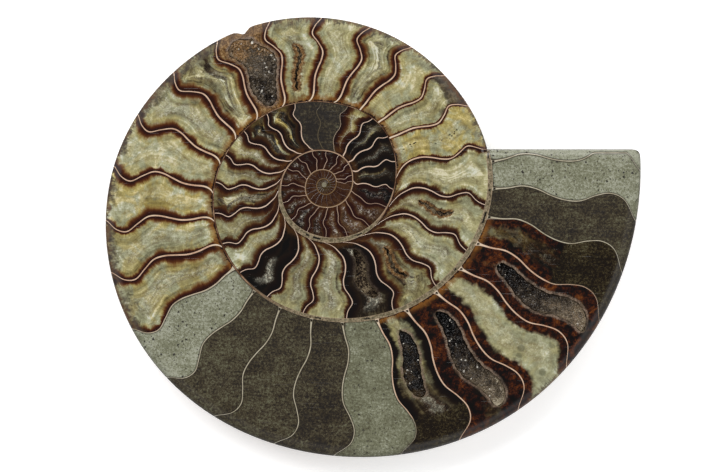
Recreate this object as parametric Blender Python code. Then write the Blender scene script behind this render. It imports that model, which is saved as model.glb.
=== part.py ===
"""Half of an ammonite fossil, sawn through the plane that it coils in and polished.

It lies on its domed back with the cut face up. Metres, +Z up, +X along the longest extent.
The origin is under the middle of the half, on the surface that it rests on.
Spiral angles are in degrees, anticlockwise from +X as seen from above. Each whorl adds 360.
"""

import math

import bpy
import numpy as np
from mathutils import Vector
from mathutils.geometry import delaunay_2d_cdt

MM = 0.001

# Driving dimensions, in millimetres unless a name says otherwise
FACE_HEIGHT = 21.0  # from the ground crest of the back up to the cut face
HALF_WIDTH = 24.0  # half of the shell's full width at the aperture, before the crest was ground
WIDTH_GROWTH = 0.4  # power of the radius that the width grows with
WALL_RADII = [  # the outer wall at every eighth of a turn, from WALL_START outwards
    4.2, 4.9, 5.3, 5.9, 6.6, 7.5, 7.9, 8.8,
    9.9, 11.6, 12.2, 13.7, 15.6, 17.9, 19.6, 22.1,
    24.8, 28.6, 29.1, 32.7, 38.5, 43.0, 47.2, 53.3,
    58.4, 57.0, 58.5, 64.3, 75.3, 86.1, 94.6, 105.0,
    110.7, 114.4,
]  # fmt: skip
WALL_START = -720.0
WALL_STEP = 45.0
TURN = 360.0

# The saw cut across the aperture: a line of nearly constant Y from the inner whorl to the corner
END_Y = 12.5
END_CORNER_RADIUS = 3.0

# The chip in the rim: how deep, at what angle, and how many degrees wide
CHIP_DEPTH = 1.7
CHIP_ANGLE = 478.0
CHIP_SPREAD = 1.8

# The back: the umbilicus and the section of a whorl
UMBILICUS = 0.2  # radius of the umbilical seam as a share of the wall's radius
CREST = 0.34  # where the flank is widest, from the seam at 0 to the outer wall at 1
FLANK_FALL = 1.9
FLANK_ROUND = 0.72
SEAM_WALL = 2.2

# Rounding of the polished edge between the cut face and the outer wall
EDGE_SHARP = 0.9
EDGE_ROLLED = 2.6
EDGE_ROLL_STARTS = 560.0
EDGE_ROLL_FULL = 590.0

# Lines of the mesh
OUTLINE_STEP = 4.0
FLANK_ROWS = (0.05, 0.13, 0.23, 0.34, 0.44, 0.54, 0.64, 0.74, 0.83, 0.91)
FLANK_STEP = 4.5
RIM_ROWS = (0.7, 1.8, 3.5, 5.8)  # rows of the back that follow the rim, in millimetres from it
INNER_ROWS = (0.1, 0.35, 0.7)
INNER_STEP = 12.0
STEP_GAP = 0.25  # half of the run of the end wall where it crosses the inner whorl's flank

# The lean of the septa: degrees ahead of their middle, at even steps from the inner wall to the
# outer, in the inner whorls, early in the last whorl and late in it
LEAN_INSIDE = (2.5, 2.8, 3.8, 3.6, 1.8, -0.1, -0.2, 1.8, 2.6, 0.6, -1.0)
LEAN_EARLY = (6.5, 5.2, 4.4, 3.5, 1.8, 0.0, -0.6, 1.1, 3.2, 2.0, 0.3)
LEAN_LATE = (2.6, 2.6, 3.0, 2.2, 0.6, -0.3, -0.3, 0.7, 0.9, -0.2, -3.0)
EARLY_UNTIL = 500.0
LATE_FROM = 640.0

# Open hollows between the septa: angle at mid height, reach up the whorl, half width in degrees,
# depth at the inner end and at the outer end
CRYSTAL_HOLLOWS = {
    "crystal_crust_top": {"angle": 477.9, "reach": (0.06, 0.92), "half": 6.6, "depth": (8.5, 3.2)},
    "crystal_crust_green": {"angle": 654.9, "reach": (0.13, 0.62), "half": 2.5, "depth": (4.5, 5.0)},
    "crystal_crust_slit": {"angle": 668.8, "reach": (0.12, 0.9), "half": 2.6, "depth": (7.5, 4.5)},
    "crystal_crust_grey": {"angle": 692.0, "reach": (0.2, 0.93), "half": 2.5, "depth": (7.0, 4.0)},
}
PLAIN_HOLLOWS = (
    {"angle": 461.2, "reach": (0.16, 0.66), "half": 0.9, "depth": (3.5, 2.5)},
    {"angle": 346.5, "reach": (0.3, 0.68), "half": 1.2, "depth": (2.5, 2.0)},
    {"angle": 310.3, "reach": (0.28, 0.7), "half": 1.4, "depth": (3.5, 3.0)},
    {"angle": 291.5, "reach": (0.12, 0.78), "half": 3.6, "depth": (2.5, 2.5)},
)
HOLLOW_STEPS = 12  # points along one side of a hollow
HOLLOW_DRAFT = 0.35  # how far a hollow's floor is inside its mouth
FLOOR_SPACING = 1.9  # between points of a hollow's floor

# The crusts of crystals that line the hollows
CRUST_SIDE_GAP = 0.4
CRUST_FLOOR_GAP = 0.35
CRUST_SKIN = 0.7
CRUST_BELOW_FACE = 0.6
CRUST_REACH = 1.6  # how far from the hollow's wall the crust thickens
CRYSTAL_SPACING = 1.5
CRYSTAL_RISE = 0.8
SEED = 11

STONE = {"colour": (0.36, 0.33, 0.22, 1.0), "roughness": 0.18}
CRYSTAL = {"colour": (0.22, 0.19, 0.17, 1.0), "roughness": 0.25}


def smooth_between(values, place):
    """A Catmull-Rom curve through evenly spaced values. place counts from the first, 0."""
    values = np.asarray(values, float)
    last = len(values) - 1
    place = np.clip(place, 0, last)
    i = np.minimum(np.floor(place).astype(int), last - 1)
    f = place - i
    before, a, b, after = (values[np.clip(i + k, 0, last)] for k in (-1, 0, 1, 2))
    slope = b - before + f * (2 * before - 5 * a + 4 * b - after + f * (3 * (a - b) + after - before))
    return a + 0.5 * f * slope


def wall_radius(angle):
    """Radius of the shell's outer wall at a spiral angle. It is also the inner wall of the next whorl."""
    angle = np.asarray(angle, float)
    radius = np.exp(smooth_between(np.log(WALL_RADII), (angle - WALL_START) / WALL_STEP))
    inward = (WALL_RADII[0] / WALL_RADII[8]) ** (np.maximum(WALL_START - angle, 0) / TURN)
    return radius * inward


def rim_radius(angle):
    """Radius of the outline: the wall, less the chip."""
    chip = CHIP_DEPTH * np.exp(-(((np.asarray(angle, float) - CHIP_ANGLE) / CHIP_SPREAD) ** 2))
    return wall_radius(angle) - chip


def crossing(whorl):
    """The angle at which a whorl's wall meets the line of the saw cut."""
    angle = whorl
    for _ in range(30):
        angle = whorl + math.degrees(math.asin(END_Y / float(wall_radius(angle))))
    return angle


START_ANGLE = crossing(TURN)
END_ANGLE = crossing(2 * TURN)
END_RADIUS = float(wall_radius(END_ANGLE))


def polar(angle, radius):
    """Plan positions about the spiral's centre, as an array of (x, y) rows."""
    turn = np.radians(angle)
    return np.stack([radius * np.cos(turn), radius * np.sin(turn)], -1)


def outline_angles():
    """Spiral angles of the outline's points along the wall, closer together at the chip."""
    corner_angle = END_ANGLE - math.degrees(END_CORNER_RADIUS / END_RADIUS)
    steps = int((corner_angle - START_ANGLE) / OUTLINE_STEP)
    angles = np.linspace(START_ANGLE, corner_angle, steps + 1)
    near_chip = CHIP_ANGLE + CHIP_SPREAD * np.array([-1.6, -0.8, 0.0, 0.8, 1.6])
    return np.sort(np.concatenate([angles[np.abs(angles - CHIP_ANGLE) > 2 * CHIP_SPREAD], near_chip]))


def outline():
    """The outline as seen from above, anticlockwise: the outer wall, the rounded corner and the saw cut."""
    angles = outline_angles()
    wall = polar(angles, rim_radius(angles))
    corner_end = polar(END_ANGLE, END_RADIUS) - [END_CORNER_RADIUS, 0]
    tip = polar(END_ANGLE, END_RADIUS)
    bend = [quadratic(wall[-1], tip, corner_end, t) for t in (0.25, 0.5, 0.75)]
    cut_steps = 12
    cut = [corner_end + (wall[0] - corner_end) * k / cut_steps for k in range(cut_steps)]
    return np.array([*wall, *bend, *cut])


def quadratic(a, b, c, t):
    """A point on the curve from a to c that leans towards b."""
    return a * (1 - t) ** 2 + b * 2 * t * (1 - t) + c * t**2


def distance_to(points, line, closed=True):
    """Distance in plan from each point to the nearest stretch of a line of points."""
    a = line if closed else line[:-1]
    b = np.roll(line, -1, 0) if closed else line[1:]
    along = b - a
    length = np.maximum((along**2).sum(1), 1e-9)
    t = np.clip(((points[:, None] - a) * along).sum(2) / length, 0, 1)
    nearest = a + t[..., None] * along
    return np.sqrt(((points[:, None] - nearest) ** 2).sum(2)).min(1)


def inside(points, loop):
    """Whether each point is inside a closed loop, by counting the sides that a ray crosses."""
    a, b = loop, np.roll(loop, -1, 0)
    x, y = points[:, None, 0], points[:, None, 1]
    spans = (a[:, 1] > y) != (b[:, 1] > y)
    rise = np.where(b[:, 1] == a[:, 1], 1, b[:, 1] - a[:, 1])
    crosses = spans & (x < a[:, 0] + (y - a[:, 1]) * (b[:, 0] - a[:, 0]) / rise)
    return crosses.sum(1) % 2 == 1


def outer_angle(points):
    """The spiral angle of the outermost whorl over each point, which the saw cut ends."""
    azimuth = np.degrees(np.arctan2(points[:, 1], points[:, 0])) % TURN
    last = (azimuth < 90) & (points[:, 1] < END_Y)
    return azimuth + TURN + np.where(last, TURN, 0)


def half_width(angle):
    """Half of a whorl's width at its crest."""
    return HALF_WIDTH * (wall_radius(angle) / END_RADIUS) ** WIDTH_GROWTH


def back_depth(points):
    """How far the back is below the cut face's plane at each point: the flanks of nested whorls."""
    radius = np.hypot(points[:, 0], points[:, 1])
    angle = outer_angle(points)
    depth = np.zeros(len(points))
    left = np.ones(len(points), bool)
    for whorl in range(4):
        seam = UMBILICUS * wall_radius(angle)
        across = (radius - seam) / (wall_radius(angle) - seam)
        here = left & ((across >= 0) | (whorl == 3))
        crest, inner = half_width(angle), half_width(angle - TURN)
        fall = np.clip((across - CREST) / (1 - CREST), 0, 1)
        flank = crest * (1 - fall**FLANK_FALL) ** FLANK_ROUND
        rise = inner + (crest - inner) * (1 - np.clip(1 - across / CREST, 0, 1) ** SEAM_WALL)
        depth = np.where(here, np.where(across > CREST, flank, rise), depth)
        left &= ~here
        angle = angle - TURN
    return np.minimum(depth, FACE_HEIGHT)


def edge_round(points):
    """Radius of the polished edge's rounding near each point."""
    angle = outer_angle(points)
    share = np.clip((angle - EDGE_ROLL_STARTS) / (EDGE_ROLL_FULL - EDGE_ROLL_STARTS), 0, 1)
    return EDGE_SHARP + (EDGE_ROLLED - EDGE_SHARP) * share


def face_drop(points, rim):
    """How far the cut face falls below its own plane: a quarter round along the rim."""
    radius = edge_round(points)
    short = np.clip(1 - distance_to(points, rim) / radius, 0, 1)
    return radius * (1 - np.sqrt(1 - np.minimum(short, 0.98) ** 2))


def septum_lean(angle, height):
    """Degrees that a septum leans ahead of its middle at a height up the whorl, 0 to 1."""
    place = np.asarray(height, float) * (len(LEAN_EARLY) - 1)
    if angle < START_ANGLE:
        return smooth_between(LEAN_INSIDE, place)
    late = np.clip((angle - EARLY_UNTIL) / (LATE_FROM - EARLY_UNTIL), 0, 1)
    early_lean, late_lean = smooth_between(LEAN_EARLY, place), smooth_between(LEAN_LATE, place)
    return early_lean + late * (late_lean - early_lean)


def in_whorl(angle, height):
    """Plan position at a spiral angle and a height between the inner wall, 0, and the outer, 1."""
    inner = wall_radius(np.asarray(angle, float) - TURN)
    return polar(angle, inner + height * (wall_radius(angle) - inner))


def hollow_mouth(hollow):
    """The mouth of a hollow: it follows the lean of the septa beside it and is round at both ends."""
    low, high = hollow["reach"]
    share = (1 - np.cos(np.linspace(0, math.pi, HOLLOW_STEPS))) / 2
    height = low + share * (high - low)
    middle = hollow["angle"] + septum_lean(hollow["angle"], height)
    half = hollow["half"] * np.sin(math.pi * share) ** 0.6
    ahead = in_whorl(middle + half, height)
    behind = in_whorl(middle - half, height)
    return np.concatenate([ahead, behind[-2:0:-1]])


def inset(loop, distance):
    """The loop moved inwards by a distance. The loop runs anticlockwise."""
    ahead = np.roll(loop, -1, 0) - np.roll(loop, 1, 0)
    ahead /= np.linalg.norm(ahead, axis=1)[:, None]
    moved = loop + distance * np.stack([-ahead[:, 1], ahead[:, 0]], -1)
    return moved[inside(moved, loop) & (distance_to(moved, loop) > 0.8 * distance)]


def anticlockwise(loop):
    x, y = loop[:, 0], loop[:, 1]
    area = (x * np.roll(y, -1) - np.roll(x, -1) * y).sum()
    return loop if area > 0 else loop[::-1]


def hollow_depth(points, hollow, mouth):
    """Depth of a hollow's floor, which slopes from its inner end to its outer end."""
    ends = mouth[0], mouth[HOLLOW_STEPS - 1]
    along = ends[1] - ends[0]
    share = np.clip(((points - ends[0]) @ along) / (along @ along), 0, 1)
    return hollow["depth"][0] + share * (hollow["depth"][1] - hollow["depth"][0])


def scattered(loop, spacing, margin, generator):
    """Points on a staggered grid inside a loop, a little disordered."""
    low, high = loop.min(0), loop.max(0)
    rows = []
    for j, y in enumerate(np.arange(low[1], high[1], spacing * 0.87)):
        x = np.arange(low[0] + (j % 2) * spacing / 2, high[0], spacing)
        rows.append(np.stack([x, np.full(len(x), y)], -1))
    found = np.concatenate(rows)
    found = found + generator.uniform(-0.18, 0.18, found.shape) * spacing
    keep = inside(found, loop)
    keep[keep] = distance_to(found[keep], loop) > margin
    return found[keep]


def joined(loop, start):
    """The sides of a closed loop whose first point has the number start."""
    count = len(loop)
    return [(start + k, start + (k + 1) % count) for k in range(count)]


def triangulate(loops, lines, loose):
    """Triangles over the inside of the first loop. It keeps every loop and open line as edges."""
    points, edges = [], []
    for loop in loops:
        edges += joined(loop, len(points))
        points += list(loop)
    for line in lines:
        edges += [(len(points) + k, len(points) + k + 1) for k in range(len(line) - 1)]
        points += list(line)
    points += list(loose)
    made = delaunay_2d_cdt([Vector(p) for p in points], edges, [], 1, 1e-4, True)
    places = np.array([tuple(v) for v in made[0]])
    number = {}
    for new, old in enumerate(made[3]):
        for k in old:
            number[k] = new
    faces = np.array([tuple(f) for f in made[2]])
    faces = faces[inside(places[faces].mean(1), loops[0])]
    return places, faces, [number[k] for k in range(len(loops[0]))]


def closed_solid(top, bottom):
    """A solid between two triangulated sheets, (points, faces, rim), whose rims match point for point."""
    upper, upper_faces, upper_rim = top
    lower, lower_faces, lower_rim = bottom
    shift = len(upper)
    faces = [tuple(f) for f in upper_faces.tolist()]
    faces += [(shift + c, shift + b, shift + a) for a, b, c in lower_faces.tolist()]
    count = len(upper_rim)
    for k in range(count):
        n = (k + 1) % count
        faces.append((upper_rim[n], upper_rim[k], shift + lower_rim[k], shift + lower_rim[n]))
    return np.concatenate([upper, lower]), faces


def raised(places, heights):
    return np.column_stack([places, heights])


def finish_material(name, look):
    material = bpy.data.materials.new(name)
    material.use_nodes = True
    shader = material.node_tree.nodes["Principled BSDF"]
    shader.inputs["Base Color"].default_value = look["colour"]
    shader.inputs["Roughness"].default_value = look["roughness"]
    return material


def add_object(name, points, faces, material, collection):
    """Makes the object in metres, with the half centred over the origin."""
    mesh = bpy.data.meshes.new(name)
    mesh.from_pydata([tuple(p) for p in (points + CENTRE_SHIFT) * MM], [], faces)
    mesh.materials.append(material)
    mesh.set_sharp_from_angle(angle=math.radians(35))
    made = bpy.data.objects.new(name, mesh)
    collection.objects.link(made)
    return made


def flank_points(rim):
    """Points over the back: rows along the last whorl, and rows along the whorls in the umbilicus."""
    rows = []
    angles = np.arange(START_ANGLE - 2, END_ANGLE + 2, FLANK_STEP)
    for across in FLANK_ROWS:
        seam = UMBILICUS * wall_radius(angles)
        rows.append(polar(angles, seam + across * (wall_radius(angles) - seam)))
    inner = np.arange(START_ANGLE - 3 * TURN, START_ANGLE, INNER_STEP)
    for across in INNER_ROWS:
        seam, over = UMBILICUS * wall_radius(inner), UMBILICUS * wall_radius(inner + TURN)
        rows.append(polar(inner, seam + across * (over - seam)))
    found = np.concatenate(rows)
    wall = outline_angles()
    rim_line = polar(wall, rim_radius(wall))
    keep = inside(found, rim)
    keep[keep] = distance_to(found[keep], rim_line, closed=False) > RIM_ROWS[-1] + 1.2
    found = np.concatenate([found[keep], *(polar(wall, rim_radius(wall) - row) for row in RIM_ROWS)])
    beside_cut = (np.abs(found[:, 1] - END_Y) < 1.0) & (found[:, 0] > 15)
    return found[~beside_cut & inside(found, rim)]


def back_sheet(rim):
    """The back: the last whorl's flank, the end wall where it stops, and the umbilicus."""
    seam_angles = np.arange(START_ANGLE - 2 * TURN, START_ANGLE - 6, 8.0)
    inner_seam = polar(seam_angles, UMBILICUS * wall_radius(seam_angles))
    seam_angles = np.arange(START_ANGLE - 6, END_ANGLE + 16, 5.0)
    seam = polar(seam_angles, UMBILICUS * wall_radius(seam_angles))
    low = math.sqrt(seam_radius_at_cut() ** 2 - END_Y**2) + 0.5
    high = float(rim[0][0]) - 0.6
    across = np.linspace(low, high, 12)
    step = [np.stack([across, np.full(12, END_Y + side * STEP_GAP)], -1) for side in (-1, 1)]
    clear = distance_to(seam, np.concatenate(step), closed=False) > 1.2
    lines = [inner_seam, seam[clear], *step]
    places, faces, loop = triangulate([rim], lines, flank_points(rim))
    depth = np.maximum(back_depth(places), face_drop(places, rim) + 0.8)
    on_cut = (np.abs(places[:, 1] - END_Y) < 0.1) & (places[:, 0] > high)
    below_cut = places[on_cut] - [0, STEP_GAP]
    depth[on_cut] = np.maximum(back_depth(below_cut), EDGE_SHARP + 0.8)
    return raised(places, FACE_HEIGHT - depth), faces, loop


def seam_radius_at_cut():
    """Radius at which the umbilical seam meets the line of the saw cut."""
    angle = 2 * TURN
    for _ in range(30):
        radius = UMBILICUS * float(wall_radius(angle))
        angle = 2 * TURN + math.degrees(math.asin(END_Y / radius))
    return radius


def face_sheet(rim, hollows):
    """The cut face, rounded along the rim, with the hollows sunk in it."""
    loops, loose, floors = [rim], [], []
    generator = np.random.default_rng(SEED)
    for share in (0.3, 0.7, 1.0):
        loops.append(inset(rim, share * EDGE_SHARP))
    rolled = inset(rim, EDGE_ROLLED)
    loose += list(rolled[outer_angle(rolled) > EDGE_ROLL_FULL])
    for hollow in hollows:
        mouth = anticlockwise(hollow_mouth(hollow))
        floor = inset(mouth, HOLLOW_DRAFT)
        loops += [mouth, floor]
        loose += list(scattered(mouth, FLOOR_SPACING, 1.0, generator))
        floors.append((hollow, mouth, floor))
    places, faces, loop = triangulate(loops, [], loose)
    drop = face_drop(places, rim)
    for hollow, mouth, floor in floors:
        sunk = inside(places, mouth) & (distance_to(places, mouth) > 0.5 * HOLLOW_DRAFT)
        drop[sunk] += hollow_depth(places[sunk], hollow, hollow_mouth(hollow))
    return raised(places, FACE_HEIGHT - drop), faces, loop


def crust_solid(hollow, generator):
    """A crust of crystals: a skin over the hollow's floor that thickens towards its walls."""
    mouth = anticlockwise(hollow_mouth(hollow))
    edge = inset(mouth, HOLLOW_DRAFT + CRUST_SIDE_GAP)
    crystals = scattered(edge, CRYSTAL_SPACING, 0.5, generator)
    places, faces, loop = triangulate([edge], [], crystals)
    floor = hollow_depth(places, hollow, hollow_mouth(hollow)) - CRUST_FLOOR_GAP
    near_wall = np.exp(-distance_to(places, edge) / CRUST_REACH)
    bank = (floor - CRUST_SKIN - CRUST_BELOW_FACE) * near_wall
    bumps = CRYSTAL_RISE * generator.uniform(0, 1, len(places))
    thick = CRUST_SKIN + np.minimum(bank + bumps, floor - CRUST_SKIN - CRUST_BELOW_FACE)
    upper = raised(places, FACE_HEIGHT - floor + thick)
    lower = raised(places, FACE_HEIGHT - floor)
    return closed_solid((upper, faces, loop), (lower, faces, loop))


def clear_scene():
    for old in list(bpy.data.objects):
        bpy.data.objects.remove(old)


RIM = outline()
LOW, HIGH = RIM.min(0), RIM.max(0)
CENTRE_SHIFT = np.array([-(LOW[0] + HIGH[0]) / 2, -(LOW[1] + HIGH[1]) / 2, 0.0])


def main():
    clear_scene()
    fossil = bpy.data.collections.new("ammonite_half")
    bpy.context.scene.collection.children.link(fossil)
    stone = finish_material("polished_fossil", STONE)
    crystal = finish_material("crystals", CRYSTAL)

    hollows = [*CRYSTAL_HOLLOWS.values(), *PLAIN_HOLLOWS]
    points, faces = closed_solid(face_sheet(RIM, hollows), back_sheet(RIM))
    add_object("ammonite_half", points, faces, stone, fossil)

    generator = np.random.default_rng(SEED)
    for name, hollow in CRYSTAL_HOLLOWS.items():
        points, faces = crust_solid(hollow, generator)
        add_object(name, points, faces, crystal, fossil)


main()
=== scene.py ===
import math

import bpy
import numpy as np
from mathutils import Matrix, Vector, noise
from mathutils.geometry import delaunay_2d_cdt


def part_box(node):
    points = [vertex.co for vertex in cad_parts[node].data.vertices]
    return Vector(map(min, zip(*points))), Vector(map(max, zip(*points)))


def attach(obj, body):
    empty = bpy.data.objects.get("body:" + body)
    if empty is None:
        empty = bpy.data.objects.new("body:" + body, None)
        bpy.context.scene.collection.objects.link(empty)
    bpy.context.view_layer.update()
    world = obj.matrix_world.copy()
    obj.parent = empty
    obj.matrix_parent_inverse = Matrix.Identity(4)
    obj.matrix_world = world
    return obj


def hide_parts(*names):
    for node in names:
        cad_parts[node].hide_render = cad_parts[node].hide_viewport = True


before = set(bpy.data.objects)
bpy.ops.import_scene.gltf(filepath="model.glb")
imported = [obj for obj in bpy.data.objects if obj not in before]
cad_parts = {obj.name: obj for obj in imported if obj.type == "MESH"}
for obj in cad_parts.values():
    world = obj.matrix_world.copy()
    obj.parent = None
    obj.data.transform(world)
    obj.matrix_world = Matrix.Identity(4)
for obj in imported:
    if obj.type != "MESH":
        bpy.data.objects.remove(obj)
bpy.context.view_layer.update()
print("frame loaded")

mm = 0.001

# The coil, in millimetres about its own centre. Angles in degrees, anticlockwise, 360 a whorl.
coil = {
    "wallRadii": [
        4.2, 4.9, 5.3, 5.9, 6.6, 7.5, 7.9, 8.8,
        9.9, 11.6, 12.2, 13.7, 15.6, 17.9, 19.6, 22.1,
        24.8, 28.6, 29.1, 32.7, 38.5, 43.0, 47.2, 53.3,
        58.4, 57.0, 58.5, 64.3, 75.3, 86.1, 94.6, 105.0,
        110.7, 114.4,
    ],
    "wallStart": -720.0,
    "wallStep": 45.0,
    "coreAngle": -1080.0,  # the coil is modelled outwards from here
    "cutY": 12.5,  # the sawn end of the last whorl
    "cornerRadius": 3.0,
    "faceHeight": 21.0,
    "chip": {"depth": 1.7, "angle": 478.0, "spread": 1.8},
    "edge": {"sharp": 0.9, "rolled": 2.6, "rollStarts": 560.0, "rollFull": 590.0},
}

# How far a septum leans ahead of its middle, in degrees, from the inner wall to the outer. The rows for hollows are
# the ones that the solid's hollows follow.
septumLean = {
    "hollowSecond": (2.5, 2.8, 3.8, 3.6, 1.8, -0.1, -0.2, 1.8, 2.6, 0.6, -1.0),
    "hollowEarly": (6.5, 5.2, 4.4, 3.5, 1.8, 0.0, -0.6, 1.1, 3.2, 2.0, 0.3),
    "hollowLate": (2.6, 2.6, 3.0, 2.2, 0.6, -0.3, -0.3, 0.7, 0.9, -0.2, -3.0),
    "core": (5.0, 3.6, 2.4, 1.4, 0.6, 0.0, 0.2, 0.9, 1.4, 1.6, 1.8),
    "third": (10.0, 6.6, 4.9, 3.2, 1.0, -0.5, 0.3, 2.9, 3.6, 3.4, 3.0),
    "second": (2.5, 1.9, 3.6, 3.5, 2.0, 0.0, -0.2, 1.5, 2.1, -0.6, -1.8),
    "early": (6.5, 5.2, 4.4, 3.5, 1.8, 0.0, -0.6, 1.1, 3.2, 2.0, -0.4),
    "late": (2.0, 2.3, 3.0, 2.2, 0.6, -0.3, -0.3, 1.0, 1.6, 0.4, -3.4),
}
# The lean at the very foot of the second whorl's septa, by their angle
secondFoot = (
    (0, 9.0), (40, 4.0), (75, -3.0), (150, -5.0), (200, -9.0), (260, -9.0), (300, -13.0), (340, -17.0), (372, -9.0),
)

# Thickness of the wall between two whorls, by the angle of the inner one
wallThickness = (
    (-1080, 0.24), (-720, 0.32), (-360, 0.45), (-190, 0.6), (-150, 1.5), (-100, 2.0), (-60, 1.6), (-20, 0.7),
    (10, 0.35), (120, 0.35), (180, 0.5), (225, 0.8), (290, 1.5), (350, 1.9), (369, 1.6),
)


def smoothBetween(values, place):
    # Catmull-Rom through evenly spaced values, counted from 0
    values = np.asarray(values, float)
    last = len(values) - 1
    place = np.clip(place, 0, last)
    i = np.minimum(np.floor(place).astype(int), last - 1)
    f = place - i
    p0, p1, p2, p3 = (values[np.clip(i + k, 0, last)] for k in (-1, 0, 1, 2))
    return p1 + 0.5 * f * (p2 - p0 + f * (2 * p0 - 5 * p1 + 4 * p2 - p3 + f * (3 * (p1 - p2) + p3 - p0)))


def wallRadius(angle):
    angle = np.asarray(angle, float)
    radii = coil["wallRadii"]
    radius = np.exp(smoothBetween(np.log(radii), (angle - coil["wallStart"]) / coil["wallStep"]))
    return radius * (radii[0] / radii[8]) ** (np.maximum(coil["wallStart"] - angle, 0) / 360)


def rimRadius(angle):
    chip = coil["chip"]
    across = (np.asarray(angle, float) - chip["angle"]) / chip["spread"]
    return wallRadius(angle) - chip["depth"] * np.exp(-(across**2))


def byAngle(table, angle):
    return np.interp(angle, [row[0] for row in table], [row[1] for row in table])


def polar(angle, radius):
    turn = np.radians(angle)
    return np.stack([radius * np.cos(turn), radius * np.sin(turn)], -1)


def cutCrossing(whorl, share=1.0):
    # the angle at which a wall, or a share of its radius, meets the sawn end
    angle = whorl
    for _ in range(30):
        angle = whorl + math.degrees(math.asin(coil["cutY"] / (share * float(wallRadius(angle)))))
    return angle


startAngle = cutCrossing(360.0)
endAngle = cutCrossing(720.0)
endRadius = float(wallRadius(endAngle))


def lateShare(angle):
    # how far the septa have changed from the early to the late shape of the last whorl
    return np.clip((angle - 500) / 140, 0, 1)


def leanOf(angle, height):
    # degrees by which the septum at this angle leans ahead, at each height 0 to 1
    height = np.asarray(height, float)
    place = height * 10
    whorl = whorlOf(angle)
    if whorl in ("core", "third"):
        return smoothBetween(septumLean[whorl], place)
    if whorl == "second":
        foot = byAngle(secondFoot, angle)
        lean = smoothBetween(septumLean["second"], place)
        return lean + (foot - lean[0] if lean.ndim else foot - 2.5) * np.exp(-height / 0.05)
    late = lateShare(angle)
    lean = (1 - late) * smoothBetween(septumLean["early"], place) + late * smoothBetween(septumLean["late"], place)
    if 430 < angle < 575:  # a small hook at the foot
        lean = lean + 2.6 * np.exp(-height / 0.03)
    if angle < 380:  # the first septum seen on the outside ends where the sawn end begins
        lean = (lean - 13 * np.exp(-height / 0.07)) * (1 - height**9)
    return lean


def segmentDistance(points, line, closed=True):
    # distance to the nearest stretch of a line, and how far along the line that stretch is
    a = line if closed else line[:-1]
    b = np.roll(line, -1, 0) if closed else line[1:]
    along = b - a
    length = np.sqrt(np.maximum((along**2).sum(1), 1e-9))
    starts = np.concatenate([[0], np.cumsum(length)[:-1]])
    nearest, place = [], []
    for block in np.array_split(points, max(1, len(points) * len(a) // 400000 + 1)):
        t = np.clip(((block[:, None] - a) * along).sum(2) / length**2, 0, 1)
        gap = np.sqrt(((block[:, None] - a - t[..., None] * along) ** 2).sum(2))
        best = gap.argmin(1)
        rows = np.arange(len(block))
        nearest.append(gap[rows, best])
        place.append(starts[best] + t[rows, best] * length[best])
    return np.concatenate(nearest), np.concatenate(place)


def insideLoop(points, loop):
    a, b = loop, np.roll(loop, -1, 0)
    rise = np.where(b[:, 1] == a[:, 1], 1, b[:, 1] - a[:, 1])
    found = []
    for block in np.array_split(points, max(1, len(points) * len(a) // 400000 + 1)):
        x, y = block[:, None, 0], block[:, None, 1]
        spans = (a[:, 1] > y) != (b[:, 1] > y)
        found.append((spans & (x < a[:, 0] + (y - a[:, 1]) * (b[:, 0] - a[:, 0]) / rise)).sum(1) % 2 == 1)
    return np.concatenate(found)


def outlineLoop(step=1.0):
    corner = endAngle - math.degrees(coil["cornerRadius"] / endRadius)
    angles = np.linspace(startAngle, corner, int((corner - startAngle) / step) + 1)
    wall = polar(angles, rimRadius(angles))
    tip = polar(endAngle, endRadius)
    after = tip - [coil["cornerRadius"], 0]
    bend = [wall[-1] * (1 - t) ** 2 + tip * 2 * t * (1 - t) + after * t**2 for t in np.linspace(0.15, 0.85, 6)]
    cut = [after + (wall[0] - after) * t for t in np.linspace(0, 1, 40)[:-1]]
    return np.array([*wall, *bend, *cut])


outline = outlineLoop()
boxLow = np.array(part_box("ammonite_half")[0])[:2] / mm
planShift = boxLow - outlineLoop(4.0).min(0)
print("outline ready, coil centre at", planShift.round(2), "mm")


def outerAngle(points):
    azimuth = np.degrees(np.arctan2(points[:, 1], points[:, 0])) % 360
    return azimuth + 360 + np.where((azimuth < 90) & (points[:, 1] < coil["cutY"]), 360, 0)


def faceDrop(points):
    # the rounding of the polished edge
    edge = coil["edge"]
    # just inside the sawn end, where a point on it belongs to the last whorl
    angle = outerAngle(points - np.array([0, 0.02]))
    share = np.clip((angle - edge["rollStarts"]) / (edge["rollFull"] - edge["rollStarts"]), 0, 1)
    radius = edge["sharp"] + (edge["rolled"] - edge["sharp"]) * share
    near = np.clip(1 - segmentDistance(points, outline)[0] / radius, 0, 0.98)
    return radius * (1 - np.sqrt(1 - near**2))


# What fills the chambers. pale: body colour from black 0 to cream 1. fringe: mm of brown along the walls.
# band: strength of the growth bands. vein: white crystals along the middle. silt 1 is all mud; tone is its shade.
fills = {
    "cream": {"pale": 0.9, "warm": 0.35, "fringe": 1.0, "band": 0.3, "vein": 0.35},
    "green": {"pale": 0.76, "warm": 0.2, "fringe": 1.1, "band": 0.5, "vein": 0.45},
    "yellow": {"pale": 0.8, "warm": 0.95, "fringe": 0.5, "band": 0.35, "vein": 0.3},
    "olive": {"pale": 0.58, "warm": 0.3, "fringe": 1.3, "band": 0.8, "vein": 0.35},
    "brown": {"pale": 0.1, "warm": 0.6, "fringe": 6.5, "band": 0.3, "vein": 0.0},
    "black": {"pale": 0.1, "warm": 0.2, "fringe": 1.6, "band": 0.3, "vein": 0.3},
    "wine": {"pale": 0.14, "warm": 0.0, "fringe": 1.0, "band": 0.2, "vein": 1.0},
    "core": {"pale": 0.26, "warm": 0.0, "fringe": 0.2, "band": 0.0, "vein": 0.0},
    "silt": {"silt": 1.0},
}
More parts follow.
